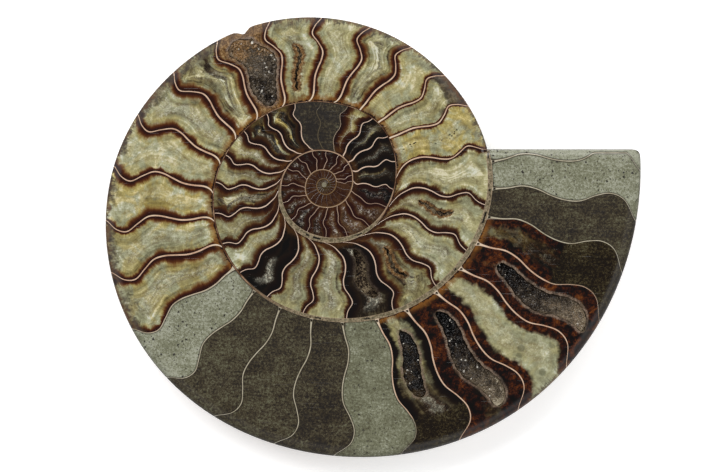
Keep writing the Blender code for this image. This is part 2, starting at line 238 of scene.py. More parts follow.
# The whorls: the angle each starts after, its rows and columns of points, septum width in mm, how strongly it is
# stained at its foot and rim, and how much of its colour is the ruddy brown of the core
whorls = {
    "core": {"after": -2000, "rows": 10, "columns": 5, "septum": 0.12, "stain": 0.0, "ruddy": 1.0},
    "third": {"after": -357, "rows": 24, "columns": 8, "septum": 0.29, "stain": 0.1, "ruddy": 0.4},
    "second": {"after": -5, "rows": 42, "columns": 13, "septum": 0.46, "stain": 0.25, "ruddy": 0.0},
    "last": {"after": 368, "rows": 58, "septum": 0.62, "stain": 1.0, "ruddy": 0.0},
}
lastColumns = 1.45  # columns a degree in the last whorl


def whorlOf(angle):
    return [name for name, whorl in whorls.items() if angle > whorl["after"]][-1]


# Every chamber of the last three whorls: the angle of the septum before it, its fill, and what differs
chambers = [
    (-356.0, "wine", {"vein": 0.3}), (-344.0, "wine", {"pale": 0.24}), (-322.2, "wine", {"pale": 0.3}),
    (-298.9, "wine", {"pale": -0.12, "vein": 0.3}), (-276.1, "wine", {"pale": 0.0, "vein": 0.9}),
    (-252.8, "wine", {"pale": -0.14, "vein": 0.4}), (-229.1, "wine", {"pale": 0.02}),
    (-207.0, "wine", {"pale": 0.22}), (-182.2, "wine", {"pale": 0.16}), (-159.4, "wine", {"pale": 0.1}),
    (-136.1, "wine", {"pale": 0.02}), (-113.1, "wine", {"pale": 0.22}), (-91.3, "wine", {"pale": 0.34, "vein": 1.3}),
    (-68.9, "wine", {"pale": 0.38, "vein": 1.3}), (-45.8, "wine", {"pale": 0.3}),
    (-22.8, "wine", {"pale": -0.1, "vein": 0.4}), (-1.9, "black", {"pale": 0.12, "band": 1.2}),
    (20.0, "black", {"pale": 0.1, "band": 1.1}), (39.1, "black", {"pale": 0.2, "fringe": 2.0, "band": 1.2}),
    (55.8, "olive", {"pale": 0.6, "warm": 0.5, "fringe": 1.8, "vein": 0.9, "fall": 0.3}),
    (75.3, "silt", {"tone": -0.12}), (93.9, "silt", {"tone": -0.13}),
    (111.7, "black", {"pale": 0.3, "warm": 1.1, "fringe": 1.6, "band": 1.9, "vein": 0.1}),
    (130.9, "black", {"pale": 0.34, "warm": 1.0, "fringe": 1.5, "band": 2.3, "vein": 0.3}),
    (148.1, "green", {"pale": 0.8, "fringe": 1.5, "vein": 0.9}), (165.0, "green", {"pale": 0.76, "fringe": 1.3}),
    (180.4, "olive", {"pale": 0.64, "fringe": 1.8, "band": 1.3, "vein": 0.7, "pits": 1.0}),
    (196.3, "green", {"pale": 0.72, "fringe": 1.5, "fall": 0.42}),
    (211.9, "green", {"pale": 0.84, "warm": 0.35, "fringe": 1.1, "fall": 0.34}),
    (228.0, "black", {"pale": -0.2, "fringe": 1.8, "vein": 1.2, "veinFrom": 0.44, "fall": 0.1}),
    (244.8, "green", {"pale": 0.76, "vein": 0.7}), (262.4, "green", {"pale": 0.74, "fringe": 1.3, "vein": 1.0}),
    (281.3, "black", {"pale": 0.22, "fringe": 1.7, "vein": 1.2}),
    (300.6, "olive", {"pale": 0.6, "fringe": 1.7, "vein": 0.6, "crumble": 0.3}),
    (319.7, "green", {"pale": 0.78, "fringe": 1.3, "vein": 0.7, "fall": 0.05, "pits": 0.5}),
    (337.0, "green", {"pale": 0.78, "vein": 0.6, "fall": 0.05, "crumble": 0.25}),
    (354.7, "green", {"pale": 0.84, "fringe": 1.0, "fall": 0.1}), (startAngle, "yellow", {"pale": 0.8, "pits": 1.0}),
    (389.1, "green", {"pale": 0.76, "warm": 0.35, "fringe": 0.35, "patch": 3.2}),
    (402.6, "cream", {"pale": 0.8, "warm": 0.4, "fringe": 0.8, "vein": 0.1}),
    (418.0, "green", {"pale": 0.72, "band": 1.0}), (434.1, "green", {"pale": 0.76}),
    (451.3, "green", {"pale": 0.74, "warm": 0.35, "fringe": 1.0, "patch": 0.4, "crumble": 0.35}),
    (468.9, "olive", {"pale": 0.6, "warm": 0.5, "fringe": 1.2, "patch": 0.6, "crumble": 1.0}),
    (487.0, "olive", {"pale": 0.68, "fringe": 1.5, "band": 1.1, "patch": 1.0}),
    (503.7, "green", {"pale": 0.76, "warm": 0.3, "fringe": 1.3, "vein": 0.8, "patch": 1.0}),
    (520.2, "cream", {"pale": 0.84, "fringe": 1.4, "patch": 1.0}),
    (536.1, "cream", {"pale": 0.82, "warm": 0.75, "fringe": 1.3, "patch": 0.8}),
    (550.7, "green", {"pale": 0.78, "warm": 0.55, "patch": 0.8}),
    (564.1, "green", {"pale": 0.74, "warm": 0.5, "fringe": 1.6, "vein": 0.6, "patch": 0.9}),
    (578.9, "silt", {"tone": 0.86}), (593.1, "silt", {"tone": 0.12}), (607.2, "silt", {"tone": 0.11}),
    (622.0, "silt", {"tone": 0.0}), (635.3, "silt", {"tone": 0.62}),
    (649.2, "brown", {"pale": 0.06, "fall": -0.8, "warm": 0.1, "fringe": 1.8, "vein": 0.7,
                      "siltFrom": 0.76, "tone": -0.14}),
    (661.3, "brown", {"pale": 0.2}),
    (674.1, "brown", {"pale": 0.8, "warm": 0.1, "fringe": 3.0, "vein": 0.4, "band": 0.2, "pits": 0.8}),
    (686.4, "brown", {"pale": 0.2, "fringe": 5.5}),
    (697.0, "brown", {"pale": -0.2, "fall": -0.7, "warm": 0.9, "fringe": 3.2, "vein": 0.0,
                      "siltFrom": 0.56, "tone": -0.14}),
    (706.9, "silt", {"tone": 0.04}), (716.7, "silt", {"tone": 0.82}), (725.9, "silt", {"tone": 0.97}),
]  # fmt: skip
coreStep = 17.3  # degrees between the septa of the innermost whorls

# Open hollows: mid angle, reach up the whorl, half width in degrees, depth in mm at the foot and at the rim
hollows = {
    "crystal_crust_top": {"chamber": 468.9, "angle": 477.9, "reach": (0.06, 0.92), "half": 6.6, "depth": (8.5, 3.2)},
    "crystal_crust_green": {"chamber": 649.2, "angle": 654.9, "reach": (0.13, 0.62), "half": 2.5, "depth": (4.5, 5.0)},
    "crystal_crust_slit": {"chamber": 661.3, "angle": 668.8, "reach": (0.12, 0.9), "half": 2.6, "depth": (7.5, 4.5)},
    "crystal_crust_grey": {"chamber": 686.4, "angle": 692.0, "reach": (0.2, 0.93), "half": 2.5, "depth": (7.0, 4.0)},
    "slitTop": {"chamber": 451.3, "angle": 461.2, "reach": (0.16, 0.66), "half": 0.75, "depth": (1.8, 0.9)},
    "slitRight": {"chamber": 337.0, "angle": 346.5, "reach": (0.3, 0.68), "half": 1.0, "depth": (1.1, 0.9)},
    "slitBelow": {"chamber": 300.6, "angle": 310.3, "reach": (0.28, 0.7), "half": 1.1, "depth": (1.4, 1.2)},
    "loopBelow": {"chamber": 281.3, "angle": 291.5, "reach": (0.12, 0.78), "half": 3.6, "depth": (2.5, 2.5)},
}


def hollowEdges(hollow, height):
    # the angles of a hollow's two sides at each height, as the solid has them
    low, high = hollow["reach"]
    share = np.clip((height - low) / (high - low), 0, 1)
    cosine = np.clip(1 - 2 * share, -1, 1)
    half = hollow["half"] * np.sin(np.arccos(cosine)) ** 0.6
    angle = hollow["angle"]
    if angle < startAngle:
        lean = smoothBetween(septumLean["hollowSecond"], height * 10)
    else:
        early, late = (smoothBetween(septumLean[name], height * 10) for name in ("hollowEarly", "hollowLate"))
        lean = early + lateShare(angle) * (late - early)
    return angle + lean - half, angle + lean + half, share


def wobble(place, seed, size):
    # an uneven edge: a few waves of unlike length
    waves = ((1, 1.9), (0.6, 4.3), (0.5, 9.1))
    return size * sum(high * np.sin(place * often + (k + 1) * seed) for k, (high, often) in enumerate(waves)) / 1.6


def bandRadii(angle, height):
    # radius at a height up the whorl, between the two walls
    thin = byAngle(wallThickness, angle)
    thinBelow = byAngle(wallThickness, angle - 360)
    taper = np.clip((startAngle - angle) / 3.0, 0, 1)
    inner = wallRadius(angle - 360) + 0.3 * thinBelow
    outer = rimRadius(angle) - 0.7 * thin * taper
    return inner + height * (outer - inner)


# What the mesh tells the materials at each point
fieldNames = (
    "depth side along middle height foot crown pale warm fringe band vein pits fall silt tone seed lip sunk edge thick "
    "flare stain ruddy patch crumble veinFrom"
).split()
farIn = 50.0  # silt: mm inside the mud, or outside it when negative
noHollow = 30.0  # lip: mm from a hollow's mouth where there is none


def hollowedColumns(hollow, low, high, heights, seed, columns, radiusMid):
    # columns that gather at a hollow's sides, how deep each point sinks, and how far it is from the mouth
    left, right, share = hollowEdges(hollow, heights)
    arc = bandRadii(hollow["chamber"] + 0 * heights, heights) * math.pi / 180  # mm a degree
    uneven = 0.4 if hollow["half"] < 2 else 0.22
    left = left + wobble(heights * 40, seed, uneven) / arc
    right = right + wobble(heights * 40, seed + 5, uneven) / arc
    middle = (left + right) / 2
    span = np.maximum((right - left) / 2, 0.4 / (radiusMid * math.pi / 180))
    room = 0.07 * (high - low) + span
    middle = np.clip(middle, low + room, high - room)
    left, right = middle - span, middle + span
    slope = np.minimum(0.35 / arc, span * 0.4)
    side = max(4, columns // 3)
    floor = max(3, int(columns * 0.3))
    beside, across = np.linspace(0, 1, side + 1), np.linspace(0, 1, floor + 1)
    angles = np.concatenate([
        low[:, None] + beside * (left - low)[:, None],
        (left + 0.5 * slope)[:, None],
        (left + slope)[:, None] + across * (right - left - 2 * slope)[:, None],
        (right - 0.5 * slope)[:, None],
        right[:, None] + beside * (high - right)[:, None],
    ], 1)
    deep = hollow["depth"][0] + share * (hollow["depth"][1] - hollow["depth"][0])
    opened = np.clip(share * (1 - share) * 40, 0, 1) ** 0.5
    sink = np.zeros_like(angles)
    sink[:, side + 1] = sink[:, -side - 2] = deep * opened * 0.55
    sink[:, side + 2 : -side - 2] = (deep * opened)[:, None]
    mouth = np.concatenate([polar(left, bandRadii(left, heights)), polar(right, bandRadii(right, heights))[::-1]])
    openRows = np.concatenate([opened > 0, opened[::-1] > 0])
    places = polar(angles, bandRadii(angles, heights[:, None])).reshape(-1, 2)
    return angles, sink, segmentDistance(places, mouth[openRows])[0].reshape(angles.shape)


def chamberColumns(before, after, heights, fill, seed, columns, hollow=None):
    # one chamber's grid of points, from the edge of one septum to the edge of the next or to the sawn end
    width = fill["septum"]
    low = septumAngles(before, heights) + halfSeptum(before, heights, width)
    if after is None:
        high = low + 5
        for _ in range(20):
            high = 720 + np.degrees(np.arcsin(coil["cutY"] / bandRadii(high, heights)))
    else:
        high = septumAngles(after, heights) - halfSeptum(after, heights, width)
    if hollow is None:
        angles = low[:, None] + np.linspace(0, 1, columns + 1) * (high - low)[:, None]
        sink, lip = np.zeros_like(angles), np.full_like(angles, noHollow)
    else:
        radiusMid = float(bandRadii(np.array(before), 0.5))
        angles, sink, lip = hollowedColumns(hollow, low, high, heights, seed, columns, radiusMid)
    points = polar(angles, bandRadii(angles, heights[:, None]))
    loop = np.concatenate([points[:, 0], points[-1, 1:-1], points[::-1, -1], points[0, -2:0:-1]])
    depth, along = segmentDistance(points.reshape(-1, 2), loop)
    depth, along = depth.reshape(angles.shape), along.reshape(angles.shape)
    darkFoot = 0.24 if 100 < before < startAngle - 1 else 0.0
    values = {"pale": 0.6, "warm": 0.3, "fringe": 1.0, "band": 0.4, "vein": 0.4, "fall": darkFoot} | fill
    fields = {name: np.full_like(angles, values.get(name, 0.0)) for name in fieldNames if name != "flare"}
    tall = bandRadii(angles, 1.0) - bandRadii(angles, 0.0)
    fields["silt"][:] = farIn if "silt" in values else -farIn
    if "siltFrom" in values:
        fields["silt"][:] = (heights[:, None] - values["siltFrom"]) * tall
    across = (angles - low[:, None]) / (high - low)[:, None]
    fields["middle"] = 1 - np.abs(2 * across - 1)
    fields["height"][:] = heights[:, None]
    fields["foot"], fields["crown"] = heights[:, None] * tall, (1 - heights[:, None]) * tall
    flatPoints = points.reshape(-1, 2)
    sides = [segmentDistance(flatPoints, points[:, k], closed=False)[0] for k in (0, -1)]
    fields["side"] = np.minimum(*sides).reshape(angles.shape)
    fields["depth"], fields["along"], fields["lip"], fields["sunk"] = depth, along, lip, sink
    fields["seed"][:] = seed
    fields["edge"][:] = 1.0
    nearestWall = np.where(heights[:, None] < 0.5, angles - 360, angles)
    fields["thick"] = byAngle(wallThickness, nearestWall)
    return points, sink, fields, angles


def rowHeights(count, rim=False):
    if not rim:
        return np.linspace(0, 1, count + 1)
    return np.concatenate([np.linspace(0, 0.94, count), [0.962, 0.976, 0.986, 0.9935, 0.9975, 1.0]])


def septumAngles(angle, heights):
    angles = angle + leanOf(angle, heights)
    if angle > 720:  # the last septum stays inside the sawn end
        angles = np.minimum(angles, 720 + np.degrees(np.arcsin((coil["cutY"] - 1.3) / bandRadii(angles, heights))))
    return angles


def halfSeptum(angle, heights, width):
    # half a septum's width in degrees; it thins outwards, and on the outside of the last half whorl its foot flares
    spread = 1 - 0.4 * heights**2 + (1.6 * np.exp(-heights / 0.02) + 0.8 * np.exp(-heights / 0.03)) * (angle > 575)
    half = np.degrees(0.55 * width * spread / bandRadii(angle + 0 * heights, heights))
    return np.minimum(half, 3.2)


def septumCentre(angle, heights):
    angles = septumAngles(angle, heights)
    return angles, polar(angles, bandRadii(angles, heights))


class Stone:
    # gathers the points, fields and faces of the whole half
    def __init__(self):
        self.points, self.fields, self.faces, self.kinds = [], {name: [] for name in fieldNames}, [], []
        self.count = 0

    def add(self, plan, height, fields):
        first = self.count
        self.points.append(np.column_stack([plan, height]))
        for name in fieldNames:
            self.fields[name].append(np.broadcast_to(fields.get(name, 0.0), len(plan)).astype(float))
        self.count += len(plan)
        return np.arange(first, self.count)

    def quads(self, grid, kinds):
        # grid[row, column] of point numbers; one kind for each strip between columns
        a, b = grid[:-1, :-1], grid[1:, :-1]
        c, d = grid[1:, 1:], grid[:-1, 1:]
        self.faces += np.stack([a, b, c, d], -1).reshape(-1, 4).tolist()
        self.kinds += np.broadcast_to(kinds, a.shape).reshape(-1).tolist()

    def zip(self, first, firstPlace, second, secondPlace, kind, turned=False):
        # triangles between two lines of points that run side by side
        i = j = 0
        while i < len(first) - 1 or j < len(second) - 1:
            stepFirst = j == len(second) - 1 or (i < len(first) - 1 and firstPlace[i + 1] <= secondPlace[j + 1])
            face = [first[i], second[j], first[i + 1]] if stepFirst else [first[i], second[j], second[j + 1]]
            self.faces.append(face[::-1] if turned else face)
            self.kinds.append(kind)
            i, j = (i + 1, j) if stepFirst else (i, j + 1)


kindNames = ("calciteFill", "siltFill", "septumShell", "wallSeam", "hollowWall", "outerShell", "sawnEnd", "groundFlat")
kindOf = {name: number for number, name in enumerate(kindNames)}


def buildFace(stone):
    # the cut face as one spiral band, chamber after chamber, with thin walls zipped between the whorls
    coreAngles = np.arange(-356.0 - coreStep, coil["coreAngle"], -coreStep)[::-1]
    allChambers = [(float(a), "core", {}) for a in coreAngles] + list(chambers)
    hollowOf = {h["chamber"]: h for h in hollows.values()}
    inner, outer = [], []  # (angle, point number) along the two edges of the band
    lastColumn = lastHeights = startNumber = firstColumn = None
    for k, (angle, fillName, extra) in enumerate(allChambers):
        whorl = whorls[whorlOf(angle)]
        after = allChambers[k + 1][0] if k + 1 < len(allChambers) else None
        isLast = whorlOf(angle) == "last"
        heights = rowHeights(whorl["rows"], isLast)
        columns = max(8, round(((after or 731) - angle) * lastColumns)) if isLast else whorl["columns"]
        fill = whorl | fills[fillName] | extra
        plan, sink, fields, angles = chamberColumns(
            angle, after, heights, fill, k * 7.31 % 50, columns, hollowOf.get(angle))
        # the middle line of the septum before this chamber
        middleAngles, middle = septumCentre(angle, heights)
        plan = np.concatenate([middle[:, None], plan], 1)
        sink = np.concatenate([0 * sink[:, :1], sink], 1)
        angles = np.concatenate([middleAngles[:, None], angles], 1)
        fields = {name: np.concatenate([value[:, :1], value], 1) for name, value in fields.items()}
        fields["edge"][:, 0] = 0.0
        fields["flare"] = np.full_like(fields["edge"], float(angle > 585))
        if angle == startAngle:
            plan[-1, 0] = outline[0]
        flat = plan.reshape(-1, 2)
        drop = np.zeros(len(flat))
        if angle > 350:
            drop = faceDrop(flat)
        if after is None:
            beyond = ~insideLoop(flat, outline)
            flat[beyond] = clampToOutline(flat[beyond])
        fields = {name: value.reshape(-1) for name, value in fields.items()}
        numbers = stone.add(flat, coil["faceHeight"] - drop - sink.reshape(-1), fields)
        grid = numbers.reshape(plan.shape[:2])
        if angle == startAngle:
            startNumber = grid[-1, 0]
        kind = kindOf["siltFill" if fill.get("silt") else "calciteFill"]
        deepest = np.maximum(np.maximum(sink[:-1, :-1], sink[1:, :-1]), np.maximum(sink[:-1, 1:], sink[1:, 1:]))
        kinds = np.where(deepest > 0.05, kindOf["hollowWall"], kind)
        kinds[:, 0] = kindOf["septumShell"]
        stone.quads(grid, kinds)
        if lastColumn is None:
            firstColumn = grid[:, 0]
        elif len(lastColumn) == len(grid):
            stone.quads(np.stack([lastColumn, grid[:, 0]], 1), kindOf["septumShell"])
        else:
            stone.zip(lastColumn, lastHeights, grid[:, 0], heights, kindOf["septumShell"], turned=True)
        inner += list(zip(angles[0], grid[0]))
        outer += list(zip(angles[-1], grid[-1]))
        lastColumn, lastHeights = grid[:, -1], heights
    stop = joinWhorls(stone, inner, outer, startNumber, firstColumn)
    return np.array([*[number for _, number in outer[stop:]], *lastColumn[::-1][1:]])


def joinWhorls(stone, inner, outer, startNumber, firstColumn):
    # the walls between the whorls, and the first chamber at the very centre; returns where the rim begins
    innerAngles, outerAngles = (np.array([angle for angle, _ in edge]) for edge in (inner, outer))
    innerNumbers, outerNumbers = (np.array([number for _, number in edge]) for edge in (inner, outer))
    begin = int(np.argmax(innerAngles >= innerAngles[0] + 360))
    stop = int(np.nonzero(outerNumbers == startNumber)[0][0])
    lowPlace, highPlace = outerAngles[: stop + 1], innerAngles[begin:] - 360
    stone.zip(outerNumbers[: stop + 1], lowPlace, innerNumbers[begin:], highPlace, kindOf["wallSeam"])
    fields = {"depth": 1.0, "side": 1.0, "foot": 1.0, "crown": 9.0, "edge": 1.0, "silt": -farIn, "lip": noHollow}
    fields |= {"pale": 0.26, "fringe": 0.2, "ruddy": 1.0}
    centre = stone.add(np.zeros((1, 2)), [coil["faceHeight"]], fields)[0]
    loop = [*innerNumbers[: begin + 1], *firstColumn[::-1]]
    for k, n in ringEdges(len(loop)):
        if loop[k] != loop[n]:
            stone.faces.append([centre, loop[k], loop[n]])
            stone.kinds.append(kindOf["calciteFill"])
    return stop


def clampToOutline(points):
    a, b = outline, np.roll(outline, -1, 0)
    along = b - a
    t = np.clip(((points[:, None] - a) * along).sum(2) / (along**2).sum(1), 0, 1)
    nearest = a + t[..., None] * along
    best = ((points[:, None] - nearest) ** 2).sum(2).argmin(1)
    return nearest[np.arange(len(points)), best]


def ringEdges(count):
    return [(k, (k + 1) % count) for k in range(count)]


def lattice(points, spacing, rise):
    # staggered points over the box of the given ones
    low, high = points.min(0), points.max(0)
    rows = []
    for k, y in enumerate(np.arange(low[1], high[1], spacing * rise)):
        x = np.arange(low[0] + (k % 2) * spacing / 2, high[0], spacing)
        rows.append(np.stack([x, np.full(len(x), y)], -1))
    return np.concatenate(rows)


def triangulate(points, edges, loop):
    # triangles inside the loop, and the new number of each given point
    made = delaunay_2d_cdt([Vector(p) for p in points], edges, [], 1, 1e-4, True)
    places = np.array([tuple(v) for v in made[0]])
    number = {old: new for new, olds in enumerate(made[3]) for old in olds}
    faces = np.array([tuple(f) for f in made[2]])
    return places, faces[insideLoop(places[faces].mean(1), loop)], number


def addMesh(name, points, faces, fields):
    # from points in mm about the coil's centre
    mesh = bpy.data.meshes.new(name)
    mesh.from_pydata(((points + [*planShift, 0]) * mm).tolist(), [], [[int(n) for n in face] for face in faces])
    for field, values in fields.items():
        mesh.attributes.new(field, "FLOAT", "POINT").data.foreach_set("value", values.astype(np.float32))
    made = bpy.data.objects.new(name, mesh)
    bpy.context.scene.collection.objects.link(made)
    return made


# The back: flanks of nested whorls around the umbilicus, with the crest ground flat
back = {
    "halfWidth": 24.0, "widthGrowth": 0.4, "umbilicus": 0.2, "crest": 0.34,
    "flankFall": 1.9, "flankRound": 0.72, "seamWall": 2.2, "spacing": 1.7, "stepGap": 0.25, "seamGap": 0.18,
    "nearRim": (0.35, 0.9, 1.7), "rimClear": 2.5, "seamClear": 0.45, "stepClear": 1.2,
}  # fmt: skip


def backDepth(points):
    radius = np.hypot(points[:, 0], points[:, 1])
    angle = outerAngle(points)
    depth, across, phase = np.zeros(len(points)), np.zeros(len(points)), np.zeros(len(points))
    left = np.ones(len(points), bool)
    for whorl in range(4):
        seam = back["umbilicus"] * wallRadius(angle)
        height = (radius - seam) / (wallRadius(angle) - seam)
        here = left & ((height >= 0) | (whorl == 3))
        crest = back["halfWidth"] * (wallRadius(angle) / endRadius) ** back["widthGrowth"]
        inner = back["halfWidth"] * (wallRadius(angle - 360) / endRadius) ** back["widthGrowth"]
        fall = np.clip((height - back["crest"]) / (1 - back["crest"]), 0, 1)
        flank = crest * (1 - fall ** back["flankFall"]) ** back["flankRound"]
        rise = inner + (crest - inner) * (1 - np.clip(1 - height / back["crest"], 0, 1) ** back["seamWall"])
        depth = np.where(here, np.where(height > back["crest"], flank, rise), depth)
        across = np.where(here, height, across)
        phase = np.where(here, angle, phase)
        left &= ~here
        angle = angle - 360
    return np.minimum(depth, coil["faceHeight"]), np.clip(across, 0, 1), phase


def backLines(farX):
    # where its triangles must have edges, on both sides of the seams and of the step at the saw cut; and the seams
    inner, outer = [], []
    innerAngles = np.arange(startAngle - 720, startAngle - 6, 4.0)
    outerAngles = np.arange(startAngle - 5, endAngle + 16, 2.5)
    for side in (-1, 1):
        for lines, angles in ((inner, innerAngles), (outer, outerAngles)):
            lines.append(polar(angles, back["umbilicus"] * wallRadius(angles) + side * back["seamGap"]))
    seamAtCut = back["umbilicus"] * float(wallRadius(cutCrossing(720.0, back["umbilicus"])))
    across = np.linspace(math.sqrt(seamAtCut**2 - coil["cutY"] ** 2) + 0.5, farX, 30)
    steps = [np.stack([across, np.full(30, coil["cutY"] + side * back["stepGap"])], -1) for side in (-1, 1)]
    step = np.concatenate(steps)
    trimmed = [line[segmentDistance(line, step, closed=False)[0] > back["stepClear"]] for line in outer]
    return [*inner, *steps, *trimmed], [*inner, *outer]


def buildBack(stone, rim):
    # the back and the sawn end, triangulated from the rim inwards
    rimPlan = np.concatenate(stone.points)[rim][:, :2]
    wall = np.linspace(startAngle, endAngle - 1.5, 420)
    strips = [polar(wall, rimRadius(wall) - off) for off in back["nearRim"]]
    loose = lattice(rimPlan, back["spacing"], 0.866)
    loose = loose[insideLoop(loose, rimPlan)]
    loose = np.concatenate([loose[segmentDistance(loose, rimPlan)[0] > back["rimClear"]], *strips])
    farX = float(polar(startAngle, float(rimRadius(startAngle)))[0]) - 0.6
    lines, seams = backLines(farX)
    for seam in seams:
        loose = loose[segmentDistance(loose, seam, closed=False)[0] > back["seamClear"]]
    onStep = (np.abs(loose[:, 1] - coil["cutY"]) < 1.0) & (loose[:, 0] > 15)
    loose = loose[~onStep]
    points = [*rimPlan]
    edges = ringEdges(len(rimPlan))
    for line in lines:
        edges += [(len(points) + k, len(points) + k + 1) for k in range(len(line) - 1)]
        points += list(line)
    points += list(loose)
    places, faces, number = triangulate(points, edges, rimPlan)
    depth, height, phase = backDepth(places)
    depth = np.maximum(depth, faceDrop(places) + 0.8)
    onCut = (np.abs(places[:, 1] - coil["cutY"]) < 0.1) & (places[:, 0] > farX)
    depth[onCut] = np.maximum(backDepth(places[onCut] - [0, back["stepGap"]])[0], coil["edge"]["sharp"] + 0.8)
    bottom = coil["faceHeight"] - depth
    loop = np.array([number[k] for k in range(len(rimPlan))])
    seamDistance = height * (1 - back["umbilicus"]) * wallRadius(phase)
    fields = {"depth": seamDistance, "along": phase, "height": height}
    fields |= {"silt": farIn, "tone": 0.9, "edge": 1.0, "seed": 3.0, "lip": noHollow}
    numbers = stone.add(places, bottom, fields)
    corner, plan = bottom[faces], places[faces]
    steep = corner.max(1) - corner.min(1) > 2.2
    sawn = steep & (np.abs(plan[:, :, 1].mean(1) - coil["cutY"]) < 0.6) & (plan[:, :, 0].min(1) > 8)
    level = corner.max(1) < 0.005
    kinds = np.where(sawn, kindOf["sawnEnd"], np.where(level, kindOf["groundFlat"], kindOf["outerShell"]))
    stone.faces += numbers[faces[:, ::-1]].tolist()
    stone.kinds += kinds.tolist()
    for k, n in ringEdges(len(rim)):
        onEnd = abs(rimPlan[k][1] - coil["cutY"]) < 0.3 and abs(rimPlan[n][1] - coil["cutY"]) < 0.3
        stone.faces.append([int(rim[n]), int(rim[k]), int(numbers[loop[k]]), int(numbers[loop[n]])])
        stone.kinds.append(kindOf["sawnEnd" if onEnd else "outerShell"])


def makeStone():
    stone = Stone()
    rim = buildFace(stone)
    print("cut face:", stone.count, "points")
    buildBack(stone, rim)
    points = np.concatenate(stone.points)
    fields = {name: np.concatenate(values) for name, values in stone.fields.items()}
    made = addMesh("fossilHalf", points, stone.faces, fields)
    mesh = made.data
    mesh.polygons.foreach_set("material_index", np.array(stone.kinds, np.int32))
    mesh.shade_smooth()
    mesh.set_sharp_from_angle(angle=math.radians(38))
    mesh.update()
    print("stone:", len(mesh.vertices), "points,", len(mesh.polygons), "faces")
    return made


bpy.ops.object.select_all(action="DESELECT")
fossil = makeStone()


def shade(red, green, blue):
    # a surface colour, 0 to 255, as it should look under the studio light
    lamp, gloss = 1.42, 0.006
    linear = [c / 255 / 12.92 if c <= 10 else ((c / 255 + 0.055) / 1.055) ** 2.4 for c in (red, green, blue)]
    return tuple(max((c - gloss) / lamp, c * 0.25) for c in linear) + (1.0,)


def addNode(tree, kind, inputs=None, **settings):
    # an input is a number, a colour or what another node gives
    node = tree.nodes.new(kind)
    for key, value in settings.items():
        setattr(node, key, value)
    for key, value in (inputs or {}).items():
        if isinstance(value, Value):
            tree.links.new(value.socket, node.inputs[key])
        else:
            node.inputs[key].default_value = value
    return node


def calc(operation, *terms):
    tree = next(term.socket.id_data for term in terms if isinstance(term, Value))
    return Value(addNode(tree, "ShaderNodeMath", dict(enumerate(terms)), operation=operation).outputs[0])


class Value:
    # what a shader node gives, with plain arithmetic on it
    def __init__(self, socket):
        self.socket = socket

    def __add__(self, other):
        return calc("ADD", self, other)

    def __radd__(self, other):
        return calc("ADD", other, self)

    def __sub__(self, other):
        return calc("SUBTRACT", self, other)

    def __rsub__(self, other):
        return calc("SUBTRACT", other, self)

    def __mul__(self, other):
        return calc("MULTIPLY", self, other)

    def clamped(self):
        # kept between 0 and 1
        self.socket.node.use_clamp = True
        return self


class Paint:
    # short ways to lay shader nodes in one tree
    def __init__(self, tree):
        self.tree = tree

    def get(self, kind, inputs=None, output=0, **settings):
        return Value(addNode(self.tree, kind, inputs, **settings).outputs[output])

    def field(self, name):
        return self.get("ShaderNodeAttribute", output="Fac", attribute_name=name)

    def fields(self, names):
        return [self.field(name) for name in names.split()]

    def step(self, value, low, high):
        # eases from 0 at low to 1 at high
        return self.get("ShaderNodeMapRange", {0: value, 1: low, 2: high}, interpolation_type="SMOOTHSTEP")

    def fall(self, value, low, high):
        # eases from 1 at low to 0 at high
        return 1.0 - self.step(value, low, high)

    def mix(self, share, a, b, blend="MIX"):
        return self.get("ShaderNodeMix", {0: share, 6: a, 7: b}, 2, data_type="RGBA", blend_type=blend)

    def tint(self, colour, by):
        return self.mix(1.0, colour, by, "MULTIPLY")

    def ramp(self, value, *stops):
        # the first two stops are its ends
        node = addNode(self.tree, "ShaderNodeValToRGB", {0: value})
        marks = node.color_ramp.elements
        for k, (place, colour) in enumerate(stops):
            mark = marks[k] if k < 2 else marks.new(place)
            mark.position, mark.color = place, colour
        return Value(node.outputs[0])

    def join(self, x, y=0.0, z=0.0):
        return self.get("ShaderNodeCombineXYZ", {0: x, 1: y, 2: z})

    def cloud(self, vector, scale, detail=3.0, rough=0.55, swirl=0.0, output=0):
        # 0 to 1 with its middle at 0.5
        inputs = {"Vector": vector, "Scale": scale, "Detail": detail, "Roughness": rough, "Distortion": swirl}
        return self.get("ShaderNodeTexNoise", inputs, output)

    def cells(self, vector, scale):
        # the distance to the nearest cell's middle, and a number of the cell's own
        node = addNode(self.tree, "ShaderNodeTexVoronoi", {"Vector": vector, "Scale": scale})
        return Value(node.outputs["Distance"]), self.get("ShaderNodeSeparateColor", {0: Value(node.outputs["Color"])})

    def stretch(self, vector, x, y, z, turn=0.0):
        inputs = {"Vector": vector, "Scale": (x, y, z), "Rotation": (0, 0, math.radians(turn))}
        return self.get("ShaderNodeMapping", inputs)

    def millimetres(self):
        place = self.get("ShaderNodeTexCoord", output="Object")
        return self.get("ShaderNodeVectorMath", {0: place, "Scale": 1000.0}, operation="SCALE")

    def use(self, group, **inputs):
        node = self.tree.nodes.new("ShaderNodeGroup")
        node.node_tree = group
        for key, value in inputs.items():
            socket = node.inputs[key.capitalize()]
            if isinstance(value, Value):
                self.tree.links.new(value.socket, socket)
            else:
                socket.default_value = value
        return {socket.name: Value(socket) for socket in node.outputs}

    def link(self, node, **values):
        # each value goes to the input that it names, with _ for a space
        for key, value in values.items():
            self.tree.links.new(value.socket, node.inputs[key.replace("_", " ").title()])


